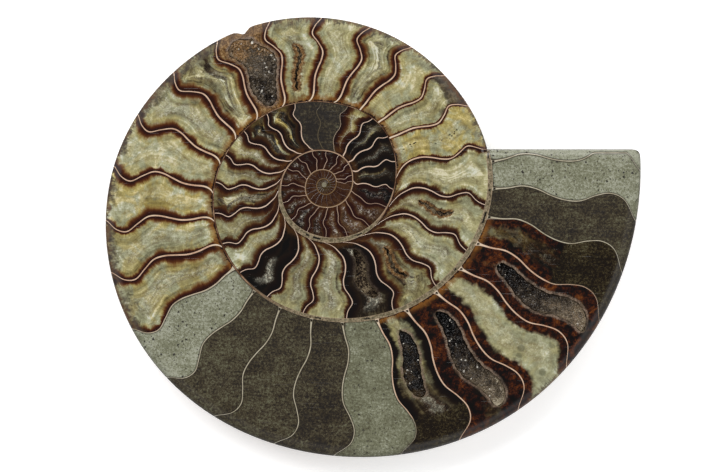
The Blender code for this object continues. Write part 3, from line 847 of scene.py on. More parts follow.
def startGroup(name, inputs, outputs):
    # inputs: socket name to its usual value, or None for a vector; an output is a value unless it is called Colour
    group = bpy.data.node_groups.new(name, "ShaderNodeTree")
    for socketName, usual in inputs.items():
        kind = "NodeSocketVector" if usual is None else "NodeSocketFloat"
        socket = group.interface.new_socket(socketName, in_out="INPUT", socket_type=kind)
        if usual is not None:
            socket.default_value = usual
    for socketName in outputs:
        kind = "NodeSocketColor" if socketName == "Colour" else "NodeSocketFloat"
        group.interface.new_socket(socketName, in_out="OUTPUT", socket_type=kind)
    given = [Value(socket) for socket in group.nodes.new("NodeGroupInput").outputs if socket.name]
    return group, Paint(group), given, group.nodes.new("NodeGroupOutput")


# Hardened mud: brown-black to pale grey-green, with soft clouds, grains and dark specks
def makeMudGroup():
    inputs = {"Place": None, "Tone": 0.5, "Specks": 0.5}
    group, p, (place, tone, specks), out = startGroup("hardenedMud", inputs, ("Colour", "Height", "Rough"))
    soft = p.cloud(place, 0.16, 4, 0.6)
    fine = p.cloud(place, 1.1, 4, 0.75)
    sand = p.cloud(place, 3.4, 2, 0.7)
    streak = p.cloud(p.stretch(place, 0.08, 0.9, 1, 38), 1.0, 3, 0.65)
    broad = (soft - 0.5) * 0.6 + (streak - 0.5) * 0.3
    pattern = broad + (fine - 0.5) * 1.15 + (sand - 0.5) * 0.8
    moved = tone + pattern * (tone * -0.55 + 1.65)
    share = moved * 0.8333 + 0.1667
    colour = p.ramp(
        share,
        (0.0, shade(30, 25, 15)), (1.0, shade(166, 167, 148)), (0.06, shade(38, 32, 21)), (0.2, shade(55, 46, 30)),
        (0.3, shade(68, 59, 40)), (0.62, shade(103, 103, 80)), (0.86, shade(131, 132, 108)),
    )  # fmt: skip
    bent = p.cloud(place, 1.6, 2.0, 0.5, output="Color")
    shaken = p.get("ShaderNodeVectorMath", {0: place, 1: bent}, operation="ADD")
    distance, pick = p.cells(shaken, 0.68)
    reach = calc("MAXIMUM", (pick - 0.42) * 0.66, 0.002)
    speck = (p.fall(distance, reach * 0.6, reach) * specks).clamped()
    distance, pick = p.cells(place, 1.25)
    reach = calc("MAXIMUM", (pick - 0.3) * 0.62, 0.002)
    grit = (p.fall(distance, reach * 0.5, reach) * specks * 0.85).clamped()
    light = (p.step(p.cloud(place, 3.1, 2, 0.6), 0.66, 0.75) * 0.35).clamped()
    colour = p.mix(light, colour, p.mix(0.5, colour, shade(186, 180, 154)))
    colour = p.mix(grit, colour, shade(52, 44, 34))
    colour = p.mix(speck * 0.95, colour, shade(34, 29, 22))
    height = fine * 0.4 - (speck + grit)
    rough = fine * 0.18 + 0.26
    p.link(out, colour=colour, height=height, rough=rough)
    return group


# Wavering edge of the brown calcite along the walls, and the fine fibres that make it ragged
def makeFibreGroup():
    inputs = {"Place": None, "Depth": 1.0, "Along": 0.0, "Seed": 0.0, "Width": 1.0}
    group, p, given, out = startGroup("wallFibres", inputs, ("Ratio", "Wandered", "Fibre"))
    place, depth, along, seed, width = given
    fibre = p.cloud(p.join(along * 2.6, depth * 0.35, seed), 1.0, 3, 0.7)
    tuft = p.cloud(p.join(along * 0.75, depth * 0.25, seed), 1.0, 2, 0.6)
    lump = p.cloud(p.join(along * 0.2, 0.0, seed + 9.0), 1.0, 2, 0.5)
    swell = p.cloud(p.join(along * 0.045, 0.0, seed + 17.0), 1.0, 1, 0.5)
    drift = p.cloud(place, 0.3, 3, 0.6)
    hair = p.step(width, 2.0, 3.5) * -0.7 + 1.0
    knots = (p.cloud(place, 0.3, 2, 0.5) - 0.5) * p.step(width, 1.6, 3.5) * 5.5
    ragged = ((fibre - 0.5) + (tuft - 0.5) * 1.2) * hair + knots
    wandered = depth + ragged + (drift - 0.5) * 2.2
    varied = 0.25 + p.step(lump, 0.3, 0.72) * 0.85 + p.step(swell, 0.34, 0.66) * 0.65
    local = width * (varied + p.step(width, 2.2, 3.2) * (0.9 - varied))
    near = depth + ragged * calc("MINIMUM", depth * 1.2, 0.95)
    p.link(out, ratio=calc("DIVIDE", near, local + 0.05), wandered=wandered, fibre=fibre)
    return group


# Marks of polishing: hairlines and a little unevenness of the shine
def makePolishGroup():
    inputs = {"Place": None, "Rough": 0.15, "Marks": 0.1}
    group, p, (place, rough, marks), out = startGroup("polishMarks", inputs, ("Rough", "Height"))
    haze = p.cloud(place, 0.09, 3, 0.6)
    hairA = p.step(p.cloud(p.stretch(place, 0.06, 3.4, 1, 24), 1.0, 2, 0.5), 0.68, 0.74)
    hairB = p.step(p.cloud(p.stretch(place, 0.05, 2.8, 1, -51), 1.0, 2, 0.5), 0.70, 0.76)
    hair = calc("MAXIMUM", hairA, hairB)
    rough = rough + marks * (haze - 0.5 + hair)
    p.link(out, rough=calc("MAXIMUM", rough, 0.04), height=hair * -1.0)
    return group


mud = makeMudGroup()
fibres = makeFibreGroup()
polish = makePolishGroup()


def startMaterial(name):
    material = bpy.data.materials.new(name)
    material.use_nodes = True
    tree = material.node_tree
    shader = tree.nodes["Principled BSDF"]
    return material, Paint(tree), shader


def finishSurface(p, shader, colour, rough, height, strength, distance=0.0002):
    bump = p.get("ShaderNodeBump", {"Strength": strength, "Distance": distance, "Height": height})
    p.link(shader, Base_Color=colour, Roughness=rough, Normal=bump)


calciteColours = {
    "black": shade(14, 9, 7), "umber": shade(36, 18, 11), "ember": shade(98, 62, 32), "amber": shade(140, 92, 42),
    "bone": shade(218, 214, 192), "rose": shade(150, 130, 112), "lilac": shade(172, 162, 158),
}  # fmt: skip


def makeCalcite():
    material, p, shader = startMaterial("calciteFill")
    c = calciteColours
    place = p.millimetres()
    depth, side, along, middle, height, foot, crown = p.fields("depth side along middle height foot crown")
    pale, warm, seed, width, stain, ruddy = p.fields("pale warm seed fringe stain ruddy")
    vein, veinFrom, pits, patch, lip, crumble = p.fields("vein veinFrom pits patch lip crumble")
    grown = p.use(fibres, place=place, depth=side, along=along, seed=seed, width=width)
    ratio, wandered, fibre = grown["Ratio"], grown["Wandered"], grown["Fibre"]
    soft = p.cloud(place, 0.13, 4, 0.6, 0.6)
    mottle = p.cloud(place, 0.6, 4, 0.7)
    grain = p.cloud(place, 2.2, 3, 0.7)
    # layers that followed the walls as the calcite grew inwards
    layer = p.cloud(p.join(along * 0.06, (depth + (wandered - depth) * 0.5) * 0.62, seed), 1.0, 3, 0.6)
    layers = (layer - 0.5) * p.field("band") * p.step(depth, 0.6, 2.0)
    inward = p.step(depth, 1.0, 4.0) * -0.4 + 0.6
    tone = pale + (soft - 0.5) * 0.75 + (mottle - 0.5) * 0.5
    tone = tone + layers * 2.3 + (grain - 0.5) * 0.28
    tone = tone + (fibre - 0.5) * inward
    tone = tone - p.field("fall") * (1.0 - height)
    body = p.ramp(
        tone, (0.0, shade(15, 10, 7)), (1.0, shade(218, 214, 186)), (0.2, shade(42, 33, 25)), (0.4, shade(84, 75, 55)),
        (0.55, shade(117, 111, 81)), (0.7, shade(144, 139, 103)), (0.82, shade(165, 161, 121)),
        (0.92, shade(185, 181, 141)),
    )  # fmt: skip
    hue = p.cloud(place, 0.16, 3, 0.6, 0.8)
    body = p.mix(p.step(hue, 0.42, 0.62), body, p.tint(body, (0.95, 1.0, 1.12, 1)))
    broad = p.step(width, 2.2, 3.2)
    golden = warm + p.fall(ratio, 1.2, 3.2) * (broad * -0.35 + 0.35)
    body = p.mix((golden * p.fall(hue, 0.4, 0.6)).clamped(), body, p.tint(body, (1.04, 0.87, 0.5, 1)))
    third = p.step(ruddy, 0.2, 0.4)
    body = p.mix(third, body, p.tint(body, (1.1, 0.72, 0.62, 1)))
    # white crystals along the middle of a chamber, and the fine cracks in them
    fade = p.step(height, veinFrom, veinFrom + 0.15) * p.fall(height, 0.8, 0.96)
    line = middle + (fibre - 0.5) * 0.4 + (soft - 0.5) * 0.9
    glint = p.step(p.cloud(place, 1.1, 5, 0.8), 0.5, 0.64)
    zone = p.step(line + third * 0.16, 0.6, 0.92) * fade * vein
    crack = p.fall(calc("ABSOLUTE", p.cloud(place, 0.45, 4, 0.7, 0.7) - 0.5), 0.004, 0.022)
    crackZone = p.step(line, 0.5, 0.85) * fade * (vein * 0.8 + 0.15)
    white = p.mix(third, c["bone"], c["lilac"])
    body = p.mix((zone * (glint * 0.75 + third * -0.12 + 0.12)).clamped(), body, white)
    crackColour = p.mix(p.step(mottle, 0.46, 0.54), p.mix(0.6, body, c["ember"]), c["bone"])
    body = p.mix((crackZone * crack * 0.85).clamped(), body, crackColour)
    seamDark = p.step(line, 0.62, 0.72) * p.fall(line, 0.72, 0.82) * fade * 0.35
    body = p.mix(seamDark, body, p.mix(0.5, body, c["ember"]))
    # brown growth along the septa, nearly black at the wall; where it is broad it is full of chestnut grains
    bits = p.cloud(place, 0.2, 3, 0.6, 1.2)
    rust = bits + (mottle - 0.5) * 0.8 + (grain - 0.5) * 0.5
    chestnut = p.ramp(
        rust, (0.35, c["black"]), (0.98, c["amber"]), (0.48, shade(34, 17, 11)), (0.6, shade(66, 34, 18)),
        (0.74, shade(102, 57, 27)),
    )  # fmt: skip
    thin = p.ramp(
        ratio * 0.5, (0.0, shade(34, 17, 11)), (1.0, shade(146, 118, 70)), (0.25, shade(56, 28, 16)),
        (0.42, shade(84, 47, 25)), (0.58, shade(112, 75, 40)),
    )  # fmt: skip
    sombre = calc("MAXIMUM", p.fall(pale, 0.2, 0.6), p.fall(stain, 0.3, 0.9) * 0.45)
    deep = third * 0.45 * p.fall(pale, -0.1, 0.14)
    blackened = third * -0.5 + 0.95 + deep
    thin = p.mix(sombre * (1.0 - broad) * blackened, thin, c["black"])
    thin = p.mix(third * 0.6, thin, shade(42, 14, 9))
    brown = p.mix(broad, thin, chestnut)
    upTo = broad * -0.5 + 1.9
    colour = p.mix(p.fall(ratio, broad * -0.1 + 0.85, upTo), body, brown)
    # spots in the palest part of a broad brown chamber
    spots = p.fall(p.cells(place, 0.2)[0], 0.2, 0.34)
    spots = (spots * p.step(ratio, 1.3, 1.6) * broad * pits * p.step(height, 0.5, 0.7)).clamped()
    colour = p.mix(spots * 0.8, colour, shade(92, 92, 72))
    # amber and brown at the foot, and dark stains against the outer wall
    soaked = foot + (mottle - 0.5) * 3.0 + (fibre - 0.5) * 1.6
    amber = p.mix(p.step(soft, 0.4, 0.6), c["ember"], c["amber"])
    colour = p.mix(p.fall(soaked, 0.6, 2.9) * stain * 0.75, colour, amber)
    colour = p.mix(p.fall(soaked, 0.1, 0.7) * p.step(stain, 0.0, 0.3), colour, c["umber"])
    reach = p.step(p.cloud(place, 0.12, 2, 0.5), 0.36, 0.66) * patch * 5.5
    ragged = crown + (mottle - 0.5) * 6.0 + (fibre - 0.5) * 3.0
    stained = p.fall(ragged, reach * 0.3, reach + 1.2) * p.step(reach, 0.3, 2.0)
    stainColour = p.mix(p.step(mottle, 0.4, 0.62), shade(48, 32, 20), shade(98, 84, 56))
    strong = p.mix(p.step(mottle, 0.44, 0.6), shade(46, 32, 30), shade(94, 78, 62))
    stainColour = p.mix(p.step(patch, 1.0, 3.0), stainColour, strong)
    colour = p.mix(stained * 0.85, colour, stainColour)
    rimStain = p.fall(ragged, 0.4, 1.7) * p.step(stain, 0.5, 1.0) * 0.75
    colour = p.mix(rimStain, colour, p.mix(p.step(bits, 0.4, 0.6), c["umber"], c["ember"]))
    # crumbling stone round the hollow by the chipped rim
    beside = lip + (mottle - 0.5) * crumble * 8.0
    beside = p.fall(beside, crumble * 2.0, crumble * 4.5)
    crumbs = calc("MAXIMUM", beside, p.step(height, 0.3, 0.7) * p.step(crumble, 0.6, 1.0))
    crumbs = (crumbs * p.step(crumble, 0.0, 0.2)).clamped()
    gravel = p.ramp(
        mottle + (grain - 0.5) * 0.9, (0.3, shade(58, 42, 30)), (0.72, shade(176, 146, 106)),
        (0.46, shade(104, 76, 48)), (0.58, shade(132, 100, 62)),
    )  # fmt: skip
    colour = p.mix(crumbs * p.step(side, 0.4, 1.6), colour, gravel)
    # pits: painted shade, black spots along the middle of a chamber that stand in for the shade inside small holes
    distance = p.cells(p.stretch(place, 1.0, 1.6, 1.0), 0.75)[0]
    pit = p.fall(distance + (grain - 0.5) * 0.5, 0.2, 0.34) * (1.0 - broad)
    pit = (pit * p.step(line, 0.82, 0.96) * fade * pits).clamped()
    colour = p.mix(pit, colour, c["black"])
    # the innermost whorls: plain ruddy brown, greener inwards, around a pale first chamber
    centre = (*planShift, coil["faceHeight"])
    offset = p.get("ShaderNodeVectorMath", {0: place, 1: centre}, "Value", operation="DISTANCE")
    young = p.mix(p.step(mottle, 0.35, 0.65), shade(46, 26, 17), shade(72, 47, 30))
    young = p.mix(p.fall(offset, 2.0, 3.2), young, shade(64, 50, 29))
    young = p.mix(p.step(grain, 0.55, 0.75) * 0.7, young, shade(108, 82, 56))
    colour = p.mix(p.step(ruddy, 0.6, 1.0) * 0.9, colour, young)
    colour = p.mix(p.fall(offset + (mottle - 0.5) * 0.8, 0.68, 1.05), colour, shade(132, 126, 106))
    # the rim of an open hollow
    ring = p.fall(lip + (fibre - 0.5) * 1.2, 0.45, 1.15)
    ring = ring * (1.0 - p.step(crumble, 0.1, 0.2) * p.fall(crumble, 0.6, 0.9))
    ring = ring * (p.step(stain, 0.5, 1.0) * 0.8 + 0.2) * (p.step(bits, 0.36, 0.6) * 0.7 + 0.3)
    colour = p.mix(ring, colour, p.mix(p.step(grain, 0.35, 0.65), shade(92, 76, 64), c["rose"]))
    # mud that filled the rest of a chamber
    mudEdge = p.field("silt") + (mottle - 0.5) * 7.0
    filled = p.use(mud, place=place, tone=p.field("tone"), specks=0.15)
    colour = p.mix(p.step(mudEdge, -0.7, 0.7), colour, filled["Colour"])
    rolled = p.fall(crown, 1.0, 4.5) * p.step(stain, 0.5, 1.0) * 0.5
    shine = p.use(polish, place=place, rough=0.12 + rolled, marks=0.05)
    relief = shine["Height"] * 0.25 + grain * 0.12
    shader.inputs["Specular IOR Level"].default_value = 0.42
    finishSurface(p, shader, colour, shine["Rough"], relief, 0.35)
    return material


def makeHollowWall():
    # the rough inside of an open hollow, with painted shade that darkens it the deeper it is sunk
    material, p, shader = startMaterial("hollowWall")
    place = p.millimetres()
    grain = p.cloud(place, 1.5, 4, 0.75)
    blotch = p.cloud(place, 0.35, 3, 0.6)
    gritty = grain * 1.7 - 0.35
    # painted shade: the deeper a point is sunk, the darker its colour
    tone = gritty - (p.field("sunk") - 1.5) * 0.07 + (blotch - 0.5) * 0.9
    tone = tone + p.field("pale") * -0.15 + 0.17
    colour = p.ramp(
        tone, (0.32, shade(18, 12, 9)), (0.8, shade(150, 134, 108)), (0.46, shade(40, 30, 23)),
        (0.58, shade(72, 58, 44)),
    )  # fmt: skip
    shader.inputs["Specular IOR Level"].default_value = 0.12
    finishSurface(p, shader, colour, grain * 0.3 + 0.5, grain, 0.7, 0.0006)
    return material


def makeSilt():
    material, p, shader = startMaterial("siltFill")
    place = p.millimetres()
    tone, depth, crown, stain = p.fields("tone depth crown stain")
    fibre = p.cloud(place, 1.6, 2, 0.6)
    filled = p.use(mud, place=place, tone=tone, specks=p.step(tone, 0.1, 0.8))
    rimLine = p.fall(depth + (fibre - 0.5) * 0.3, 0.12, 0.42)
    colour = p.mix(rimLine * 0.6, filled["Colour"], shade(40, 33, 24))
    rolled = p.fall(crown, 1.0, 4.5) * p.step(stain, 0.5, 1.0) * 0.4
    shine = p.use(polish, place=place, rough=filled["Rough"] + rolled, marks=0.1)
    relief = filled["Height"] * 0.5 + shine["Height"] * 0.4
    shader.inputs["Specular IOR Level"].default_value = 0.36
    finishSurface(p, shader, colour, shine["Rough"], relief, 0.3)
    return material


def makeSeptum():
    material, p, shader = startMaterial("septumShell")
    place = p.millimetres()
    edge, foot, ruddy, stain = p.fields("edge foot ruddy stain")
    drift = p.cloud(place, 0.35, 3, 0.6)
    fine = p.cloud(place, 2.2, 2, 0.6)
    grade = drift + (fine - 0.5) * 0.5
    shell = p.ramp(grade, (0.25, shade(192, 150, 122)), (0.8, shade(236, 208, 180)))
    atFoot = p.fall(foot, 1.0, 5.0) * p.step(stain, 0.5, 1.0)
    shell = p.mix(atFoot * 0.6, shell, shade(238, 222, 196))
    shell = p.mix(p.fall(stain, 0.3, 0.9) * 0.5, shell, shade(224, 202, 182))
    # paler and thinner between two muds; thin and grey in the darkest mud
    inMud = p.step(p.field("silt"), -1.0, 1.0)
    darkMud = inMud * p.fall(p.field("tone"), -0.09, -0.03)
    shell = p.mix(inMud, shell, p.ramp(grade, (0.25, shade(160, 150, 126)), (0.8, shade(212, 204, 180))))
    shell = p.mix(darkMud, shell, p.mix(fine, shade(70, 62, 46), shade(112, 102, 82)))
    shell = p.mix(p.step(ruddy, 0.2, 0.4) * 0.65, shell, shade(126, 98, 78))
    shell = p.mix(p.step(ruddy, 0.6, 1.0), shell, p.mix(fine, shade(40, 24, 16), shade(78, 52, 36)))
    rimAt = inMud * -0.22 + 0.55
    colour = p.mix(p.step(edge, rimAt, rimAt + 0.4), shell, p.mix(inMud, shade(58, 32, 20), shade(52, 44, 32)))
    # little dark cells where a septum forks at its foot
    cell = p.step(foot, 0.15, 0.35) * p.fall(foot, 0.9, 1.4)
    cell = cell * p.fall(edge, 0.35, 0.6) * p.field("flare")
    colour = p.mix(cell, colour, shade(42, 36, 28))
    shine = p.use(polish, place=place, rough=0.16, marks=0.05)
    finishSurface(p, shader, colour, shine["Rough"], edge * -0.4, 0.3)
    return material


def makeWall():
    material, p, shader = startMaterial("wallSeam")
    place = p.millimetres()
    across, thick, ruddy = p.fields("height thick ruddy")
    rag = p.cloud(place, 1.4, 3, 0.65)
    broken = p.cloud(place, 0.22, 3, 0.6)
    filled = p.use(mud, place=place, tone=0.55, specks=1.0)
    offCentre = calc("ABSOLUTE", across - 0.5)
    line = p.fall(offCentre + (rag - 0.5) * 0.5, 0.12, 0.36)
    shell = p.mix(p.step(broken, 0.4, 0.62), shade(92, 60, 36), shade(176, 142, 112))
    shell = p.mix(p.step(ruddy, 0.1, 0.4), shell, shade(176, 150, 124))
    shell = p.mix(p.step(ruddy, 0.5, 0.9), shell, shade(118, 92, 60))
    thin = p.mix(line + p.step(ruddy, 0.1, 0.4), shade(52, 29, 17), shell)
    sandy = p.mix(p.step(rag, 0.4, 0.66), p.mix(0.5, filled["Colour"], shade(96, 76, 52)), shade(158, 142, 116))
    edgeLine = p.step(offCentre + (rag - 0.5) * 0.2, 0.34, 0.46)
    sandy = p.mix(edgeLine * 0.55, sandy, shade(182, 158, 130))
    # painted shade: a near-black streak along the middle of a broad seam stands in for the shade inside an open crack
    slit = p.step(broken, 0.57, 0.6) * p.fall(offCentre, 0.12, 0.22)
    sandy = p.mix(slit, sandy, shade(26, 20, 15))
    colour = p.mix(p.step(thick, 0.75, 1.2), thin, sandy)
    shine = p.use(polish, place=place, rough=0.2, marks=0.06)
    finishSurface(p, shader, colour, shine["Rough"], filled["Height"] * 0.4, 0.3)
    return material


def makeOuterShell():
    material, p, shader = startMaterial("outerShell")
    place = p.millimetres()
    phase, height = p.fields("along height")
    # wavy lines where the septa meet the shell, with small lobes
    lobes = calc("SINE", height * 21.0) * 1.5 + calc("SINE", height * 55.0) * 0.7
    run = phase + lobes + (p.cloud(place, 0.35, 3, 0.6) - 0.5) * 3.2
    strip = calc("PINGPONG", run, 7.2)
    line = p.fall(strip, 0.12, 0.5)
    soft = p.cloud(place, 0.06, 4, 0.62, 0.4)
    fine = p.cloud(place, 0.9, 4, 0.7)
    shell = p.ramp(
        soft + (fine - 0.5) * 0.35, (0.2, shade(66, 38, 24)), (0.86, shade(196, 178, 142)),
        (0.38, shade(112, 74, 44)), (0.52, shade(146, 112, 72)), (0.68, shade(168, 146, 108)),
    )  # fmt: skip
    filled = p.use(mud, place=place, tone=0.72, specks=0.6)
    worn = p.step(p.cloud(place, 0.045, 3, 0.6) + (fine - 0.5) * 0.18, 0.52, 0.6)
    colour = p.mix(worn * 0.8, shell, filled["Colour"])
    colour = p.mix((line * (worn * -0.5 + 0.85)).clamped(), colour, shade(52, 30, 20))
    level = p.get("ShaderNodeSeparateXYZ", {0: place}, 2)
    onFlat = p.fall(level + (fine - 0.5) * 0.12, 0.05, 0.16)
    flat = p.use(mud, place=place, tone=0.75, specks=0.4)
    colour = p.mix(onFlat, colour, p.mix(0.12, flat["Colour"], shade(176, 170, 152)))
    ribs = calc("SINE", (phase + height * 14.0) * 0.5236)
    relief = fine * 0.9 + line * -0.8 + ribs * 0.3
    rough = fine * 0.3 + 0.34
    finishSurface(p, shader, colour, rough, relief, 0.6, 0.0004)
    return material


def makeSawn(name, tone, rough, scoring):
    # sawn or ground stone that was not polished
    material, p, shader = startMaterial(name)
    place = p.millimetres()
    filled = p.use(mud, place=place, tone=tone, specks=0.4)
    score = p.cloud(p.stretch(place, *scoring), 1.0, 2, 0.6)
    colour = p.mix(score * 0.25, filled["Colour"], shade(176, 170, 152))
    relief = filled["Height"] + score
    finishSurface(p, shader, colour, score * 0.2 + rough, relief, 0.5, 0.0003)
    return material


materials = {
    "calciteFill": makeCalcite(),
    "siltFill": makeSilt(),
    "septumShell": makeSeptum(),
    "wallSeam": makeWall(),
    "hollowWall": makeHollowWall(),
    "outerShell": makeOuterShell(),
    "sawnEnd": makeSawn("sawnEnd", 0.6, 0.4, (0.05, 1.0, 2.6)),
    "groundFlat": makeSawn("groundFlat", 0.75, 0.55, (2.0, 0.12, 1.0)),
}
for name in kindNames:
    fossil.data.materials.append(materials[name])
print("materials laid on")

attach(fossil, "root")
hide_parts("ammonite_half")


# Crystals grown in the open hollows: distance between them and their size in mm, how warm their outer end is,
# how light they are, how much lighter towards the rim, and a green cast
crusts = {
    "crystal_crust_top": {"spacing": 0.72, "size": (0.4, 1.0), "warm": 0.9, "light": 0.52, "grade": 0.3, "green": 0.0},
    "crystal_crust_green": {"spacing": 0.6, "size": (0.3, 0.7), "warm": 0.1, "light": 0.14, "grade": 0.1, "green": 0.8},
    "crystal_crust_slit": {"spacing": 0.6, "size": (0.3, 0.8), "warm": 0.1, "light": 0.34, "grade": 1.0, "green": 0.1},
    "crystal_crust_grey": {"spacing": 0.6, "size": (0.3, 0.85), "warm": 0.2, "light": 0.42, "grade": 0.8, "green": 0.0},
}
crustBuild = {"edgeGap": 0.2, "floorGap": 0.35, "skin": 0.7, "belowFace": 0.75, "reach": 1.6, "seed": 11}


def makeCrystal():
    # one crystal 1 mm wide, a six-sided stub with a point
    bpy.ops.object.select_all(action="DESELECT")
    bpy.ops.mesh.primitive_cylinder_add(vertices=6, radius=0.5, depth=0.7, location=(0, 0, 0.1))
    crystal = bpy.context.object
    bpy.ops.object.mode_set(mode="EDIT")
    bpy.ops.mesh.select_all(action="DESELECT")
    bpy.ops.object.mode_set(mode="OBJECT")
    for face in crystal.data.polygons:
        face.select = face.normal.z > 0.9
    bpy.ops.object.mode_set(mode="EDIT")
    bpy.ops.mesh.extrude_region_move(TRANSFORM_OT_translate={"value": (0, 0, 0.5)})
    bpy.ops.transform.resize(value=(0.12, 0.3, 1))
    bpy.ops.object.mode_set(mode="OBJECT")
    points = np.array([tuple(v.co) for v in crystal.data.vertices]) + [0, 0, 0.1]
    # sorted, because their order differs from run to run
    faces = sorted(list(f.vertices) for f in crystal.data.polygons)
    bpy.data.objects.remove(crystal)
    return points, faces


def makeCrust(name, crystal, generator):
    hollow, look = hollows[name], crusts[name]
    low, high = hollow["reach"]
    heights = low + (high - low) * (1 - np.cos(np.linspace(0, math.pi, 60))) / 2
    left, right, _ = hollowEdges(hollow, heights)
    mouth = np.concatenate([polar(left, bandRadii(left, heights)), polar(right, bandRadii(right, heights))[-2:0:-1]])
    start, end = mouth[0], mouth[59]
    ahead = np.roll(mouth, -1, 0) - np.roll(mouth, 1, 0)
    ahead /= np.linalg.norm(ahead, axis=1)[:, None]
    edge = mouth + crustBuild["edgeGap"] * np.stack([-ahead[:, 1], ahead[:, 0]], -1)
    edge = edge[insideLoop(edge, mouth) & (segmentDistance(edge, mouth)[0] > 0.8 * crustBuild["edgeGap"])]
    grid = lattice(mouth, look["spacing"], 0.87)
    grid += generator.uniform(-0.25, 0.25, grid.shape) * look["spacing"]
    grid = grid[insideLoop(grid, edge)]
    grid = grid[segmentDistance(grid, edge)[0] > 0.15]

    def surface(places):
        along = end - start
        share = np.clip(((places - start) @ along) / (along @ along), 0, 1)
        floor = hollow["depth"][0] + share * (hollow["depth"][1] - hollow["depth"][0]) - crustBuild["floorGap"]
        room = floor - crustBuild["skin"] - crustBuild["belowFace"]
        bank = room * np.exp(-segmentDistance(places, edge)[0] / crustBuild["reach"])
        uneven = np.array([noise.noise((x * 0.5, y * 0.5, 3.0)) for x, y in places])
        thick = np.minimum(crustBuild["skin"] + bank + 0.7 * np.abs(uneven), floor - crustBuild["belowFace"])
        return coil["faceHeight"] - floor, thick, share

    places, faces, number = triangulate([*edge, *grid], ringEdges(len(edge)), edge)
    bottom, thick, share = surface(places)
    points = [np.column_stack([places, bottom + thick]), np.column_stack([places, bottom])]
    count = len(places)
    allFaces = faces.tolist() + (faces[:, ::-1] + count).tolist()
    for k, n in ringEdges(len(edge)):
        a, b = number[k], number[n]
        allFaces.append([b, a, a + count, b + count])
    glow, rimward = [np.full(2 * count, 0.35)], [share, share]
    # crystals stand square to the skin, a little askew
    crystalPoints, crystalFaces = crystal
    first = 2 * count
    bottom, thick, share = surface(grid)
    slopeX = surface(grid + [0.2, 0])[1] - surface(grid - [0.2, 0])[1]
    slopeY = surface(grid + [0, 0.2])[1] - surface(grid - [0, 0.2])[1]
    for k, spot in enumerate(grid):
        up = Vector((-slopeX[k] / 0.4, -slopeY[k] / 0.4, 1)).normalized() + Vector(generator.normal(0, 0.28, 3))
        turn = up.to_track_quat("Z", "Y").to_matrix()
        size = generator.uniform(*look["size"])
        spin = generator.uniform(0, math.pi)
        cosine, sine = math.cos(spin), math.sin(spin)
        flat = crystalPoints @ np.array([[cosine, sine, 0], [-sine, cosine, 0], [0, 0, 1]])
        shape = (flat * [size, size * 0.8, size * generator.uniform(0.8, 1.4)]) @ np.array(turn).T
        shape += [spot[0], spot[1], bottom[k] + thick[k]]
        shape[:, 2] = np.minimum(shape[:, 2], coil["faceHeight"] - 0.25)
        points.append(shape)
        allFaces += [[first + n for n in face] for face in crystalFaces]
        first += len(shape)
        glow.append(np.full(len(shape), generator.uniform(0, 1)))
        rimward.append(np.full(len(shape), share[k]))
    points = np.concatenate(points)
    fields = {"glow": np.concatenate(glow), "rimward": np.concatenate(rimward)}
    fields |= {key: np.full(len(points), look[key]) for key in ("warm", "light", "grade", "green")}
    crust = addMesh(name + "_druse", points, allFaces, fields)
    crust.data.update()
    return crust


def makeDruse():
    material, p, shader = startMaterial("crystalDruse")
    place = p.millimetres()
    glow, rimward, warm, light, green = p.fields("glow rimward warm light green")
    grain = p.cloud(place, 1.6, 3, 0.7)
    blotch = p.cloud(place, 0.28, 3, 0.6)
    tone = light + (glow - 0.5) * 0.25 + (blotch - 0.5) * 1.1 + (grain - 0.5) * 0.5
    tone = tone + (rimward - 0.5) * p.field("grade")
    colour = p.ramp(
        tone, (0.0, shade(14, 10, 8)), (1.0, shade(190, 180, 158)), (0.16, shade(32, 25, 20)),
        (0.32, shade(62, 52, 42)), (0.5, shade(98, 86, 71)), (0.75, shade(134, 121, 102)),
    )  # fmt: skip
    rusty = (warm * p.step(rimward + (blotch - 0.5) * 1.6, 0.6, 1.0)).clamped()
    colour = p.mix(rusty, colour, p.mix(p.step(grain, 0.35, 0.65), shade(134, 96, 56), shade(178, 140, 92)))
    colour = p.mix((green * 0.7).clamped(), colour, p.tint(colour, (0.86, 0.92, 0.62, 1)))
    # painted highlight: a few crystals are painted near-white to stand in for glints of light on their faces
    paintedGlint = p.step(glow, 0.972, 0.984)
    colour = p.mix(paintedGlint * 0.8, colour, shade(236, 230, 216))
    rough = grain * 0.35 + 0.24
    finishSurface(p, shader, colour, rough, grain, 0.4)
    return material


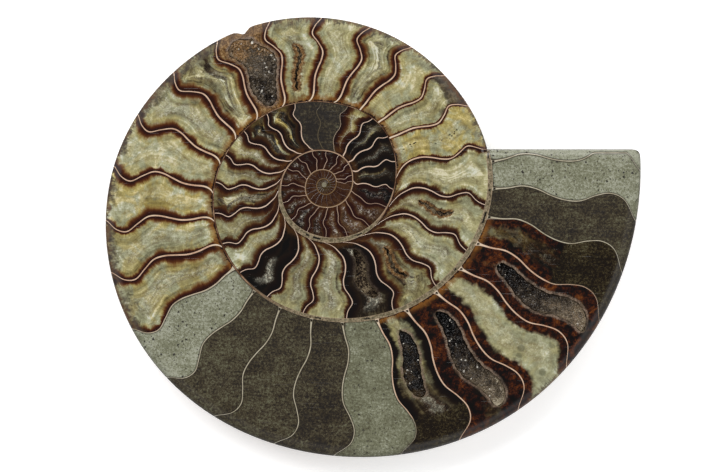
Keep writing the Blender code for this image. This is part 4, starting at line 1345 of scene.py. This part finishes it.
bpy.ops.object.select_all(action="DESELECT")
crystalModel = makeCrystal()
druse = makeDruse()
crustRandom = np.random.default_rng(crustBuild["seed"])
for name in crusts:
    crust = makeCrust(name, crystalModel, crustRandom)
    crust.data.materials.append(druse)
    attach(crust, "root")
    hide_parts(name)
    print(name, "grown,", len(crust.data.polygons), "faces")


# The place the photograph was taken from: straight above, the image's up along +Y
shot = {"centre": (-0.00674, 0.00045), "width": 0.2478, "height": 1.6, "face": 0.021}


def addStage():
    bpy.ops.mesh.primitive_plane_add(size=6, location=(0, 0, 0))
    floor = bpy.context.object
    floor.name = "paleFloor"
    material, p, shader = startMaterial("paleFloor")
    place = p.millimetres()
    paper = p.ramp(p.cloud(place, 0.004, 2, 0.5), (0.3, (0.955, 0.955, 0.955, 1)), (0.7, (0.975, 0.975, 0.975, 1)))
    p.link(shader, Base_Color=paper)
    shader.inputs["Roughness"].default_value = 0.9
    shader.inputs["Specular IOR Level"].default_value = 0.1
    shader.inputs["Emission Color"].default_value = (1, 1, 1, 1)
    shader.inputs["Emission Strength"].default_value = 0.3
    floor.data.materials.append(material)
    panels = (
        ("keyPanel", (-0.6, 0.58, 1.15), 0.7, 12.5),
        ("backPanel", (0.25, 0.95, 0.95), 0.8, 8.4),
        ("rightPanel", (0.9, 0.1, 1.0), 0.9, 6.6),
        ("frontPanel", (-0.05, -0.92, 1.0), 0.9, 5.4),
    )
    for name, place, size, power in panels:
        bpy.ops.object.light_add(type="AREA", location=place)
        panel = bpy.context.object
        panel.name = name
        panel.data.size, panel.data.energy = size, power
        panel.rotation_euler = (-Vector(place)).to_track_quat("-Z", "Y").to_euler()
    world = bpy.data.worlds.new("studioAir")
    world.use_nodes = True
    world.node_tree.nodes["Background"].inputs["Color"].default_value = (0.95, 0.97, 1.0, 1)
    world.node_tree.nodes["Background"].inputs["Strength"].default_value = 0.18
    bpy.context.scene.world = world
    bpy.ops.object.camera_add(location=(*shot["centre"], shot["face"] + shot["height"]), rotation=(0, 0, 0))
    camera = bpy.context.object
    camera.name = "photoView"
    camera.data.sensor_width = 36
    camera.data.lens = 36 * shot["height"] / shot["width"]
    camera.data.clip_start, camera.data.clip_end = 0.05, 20
    bpy.context.scene.camera = camera
    bpy.context.scene.view_settings.view_transform = "Standard"


addStage()
print("stage, lights and camera set")
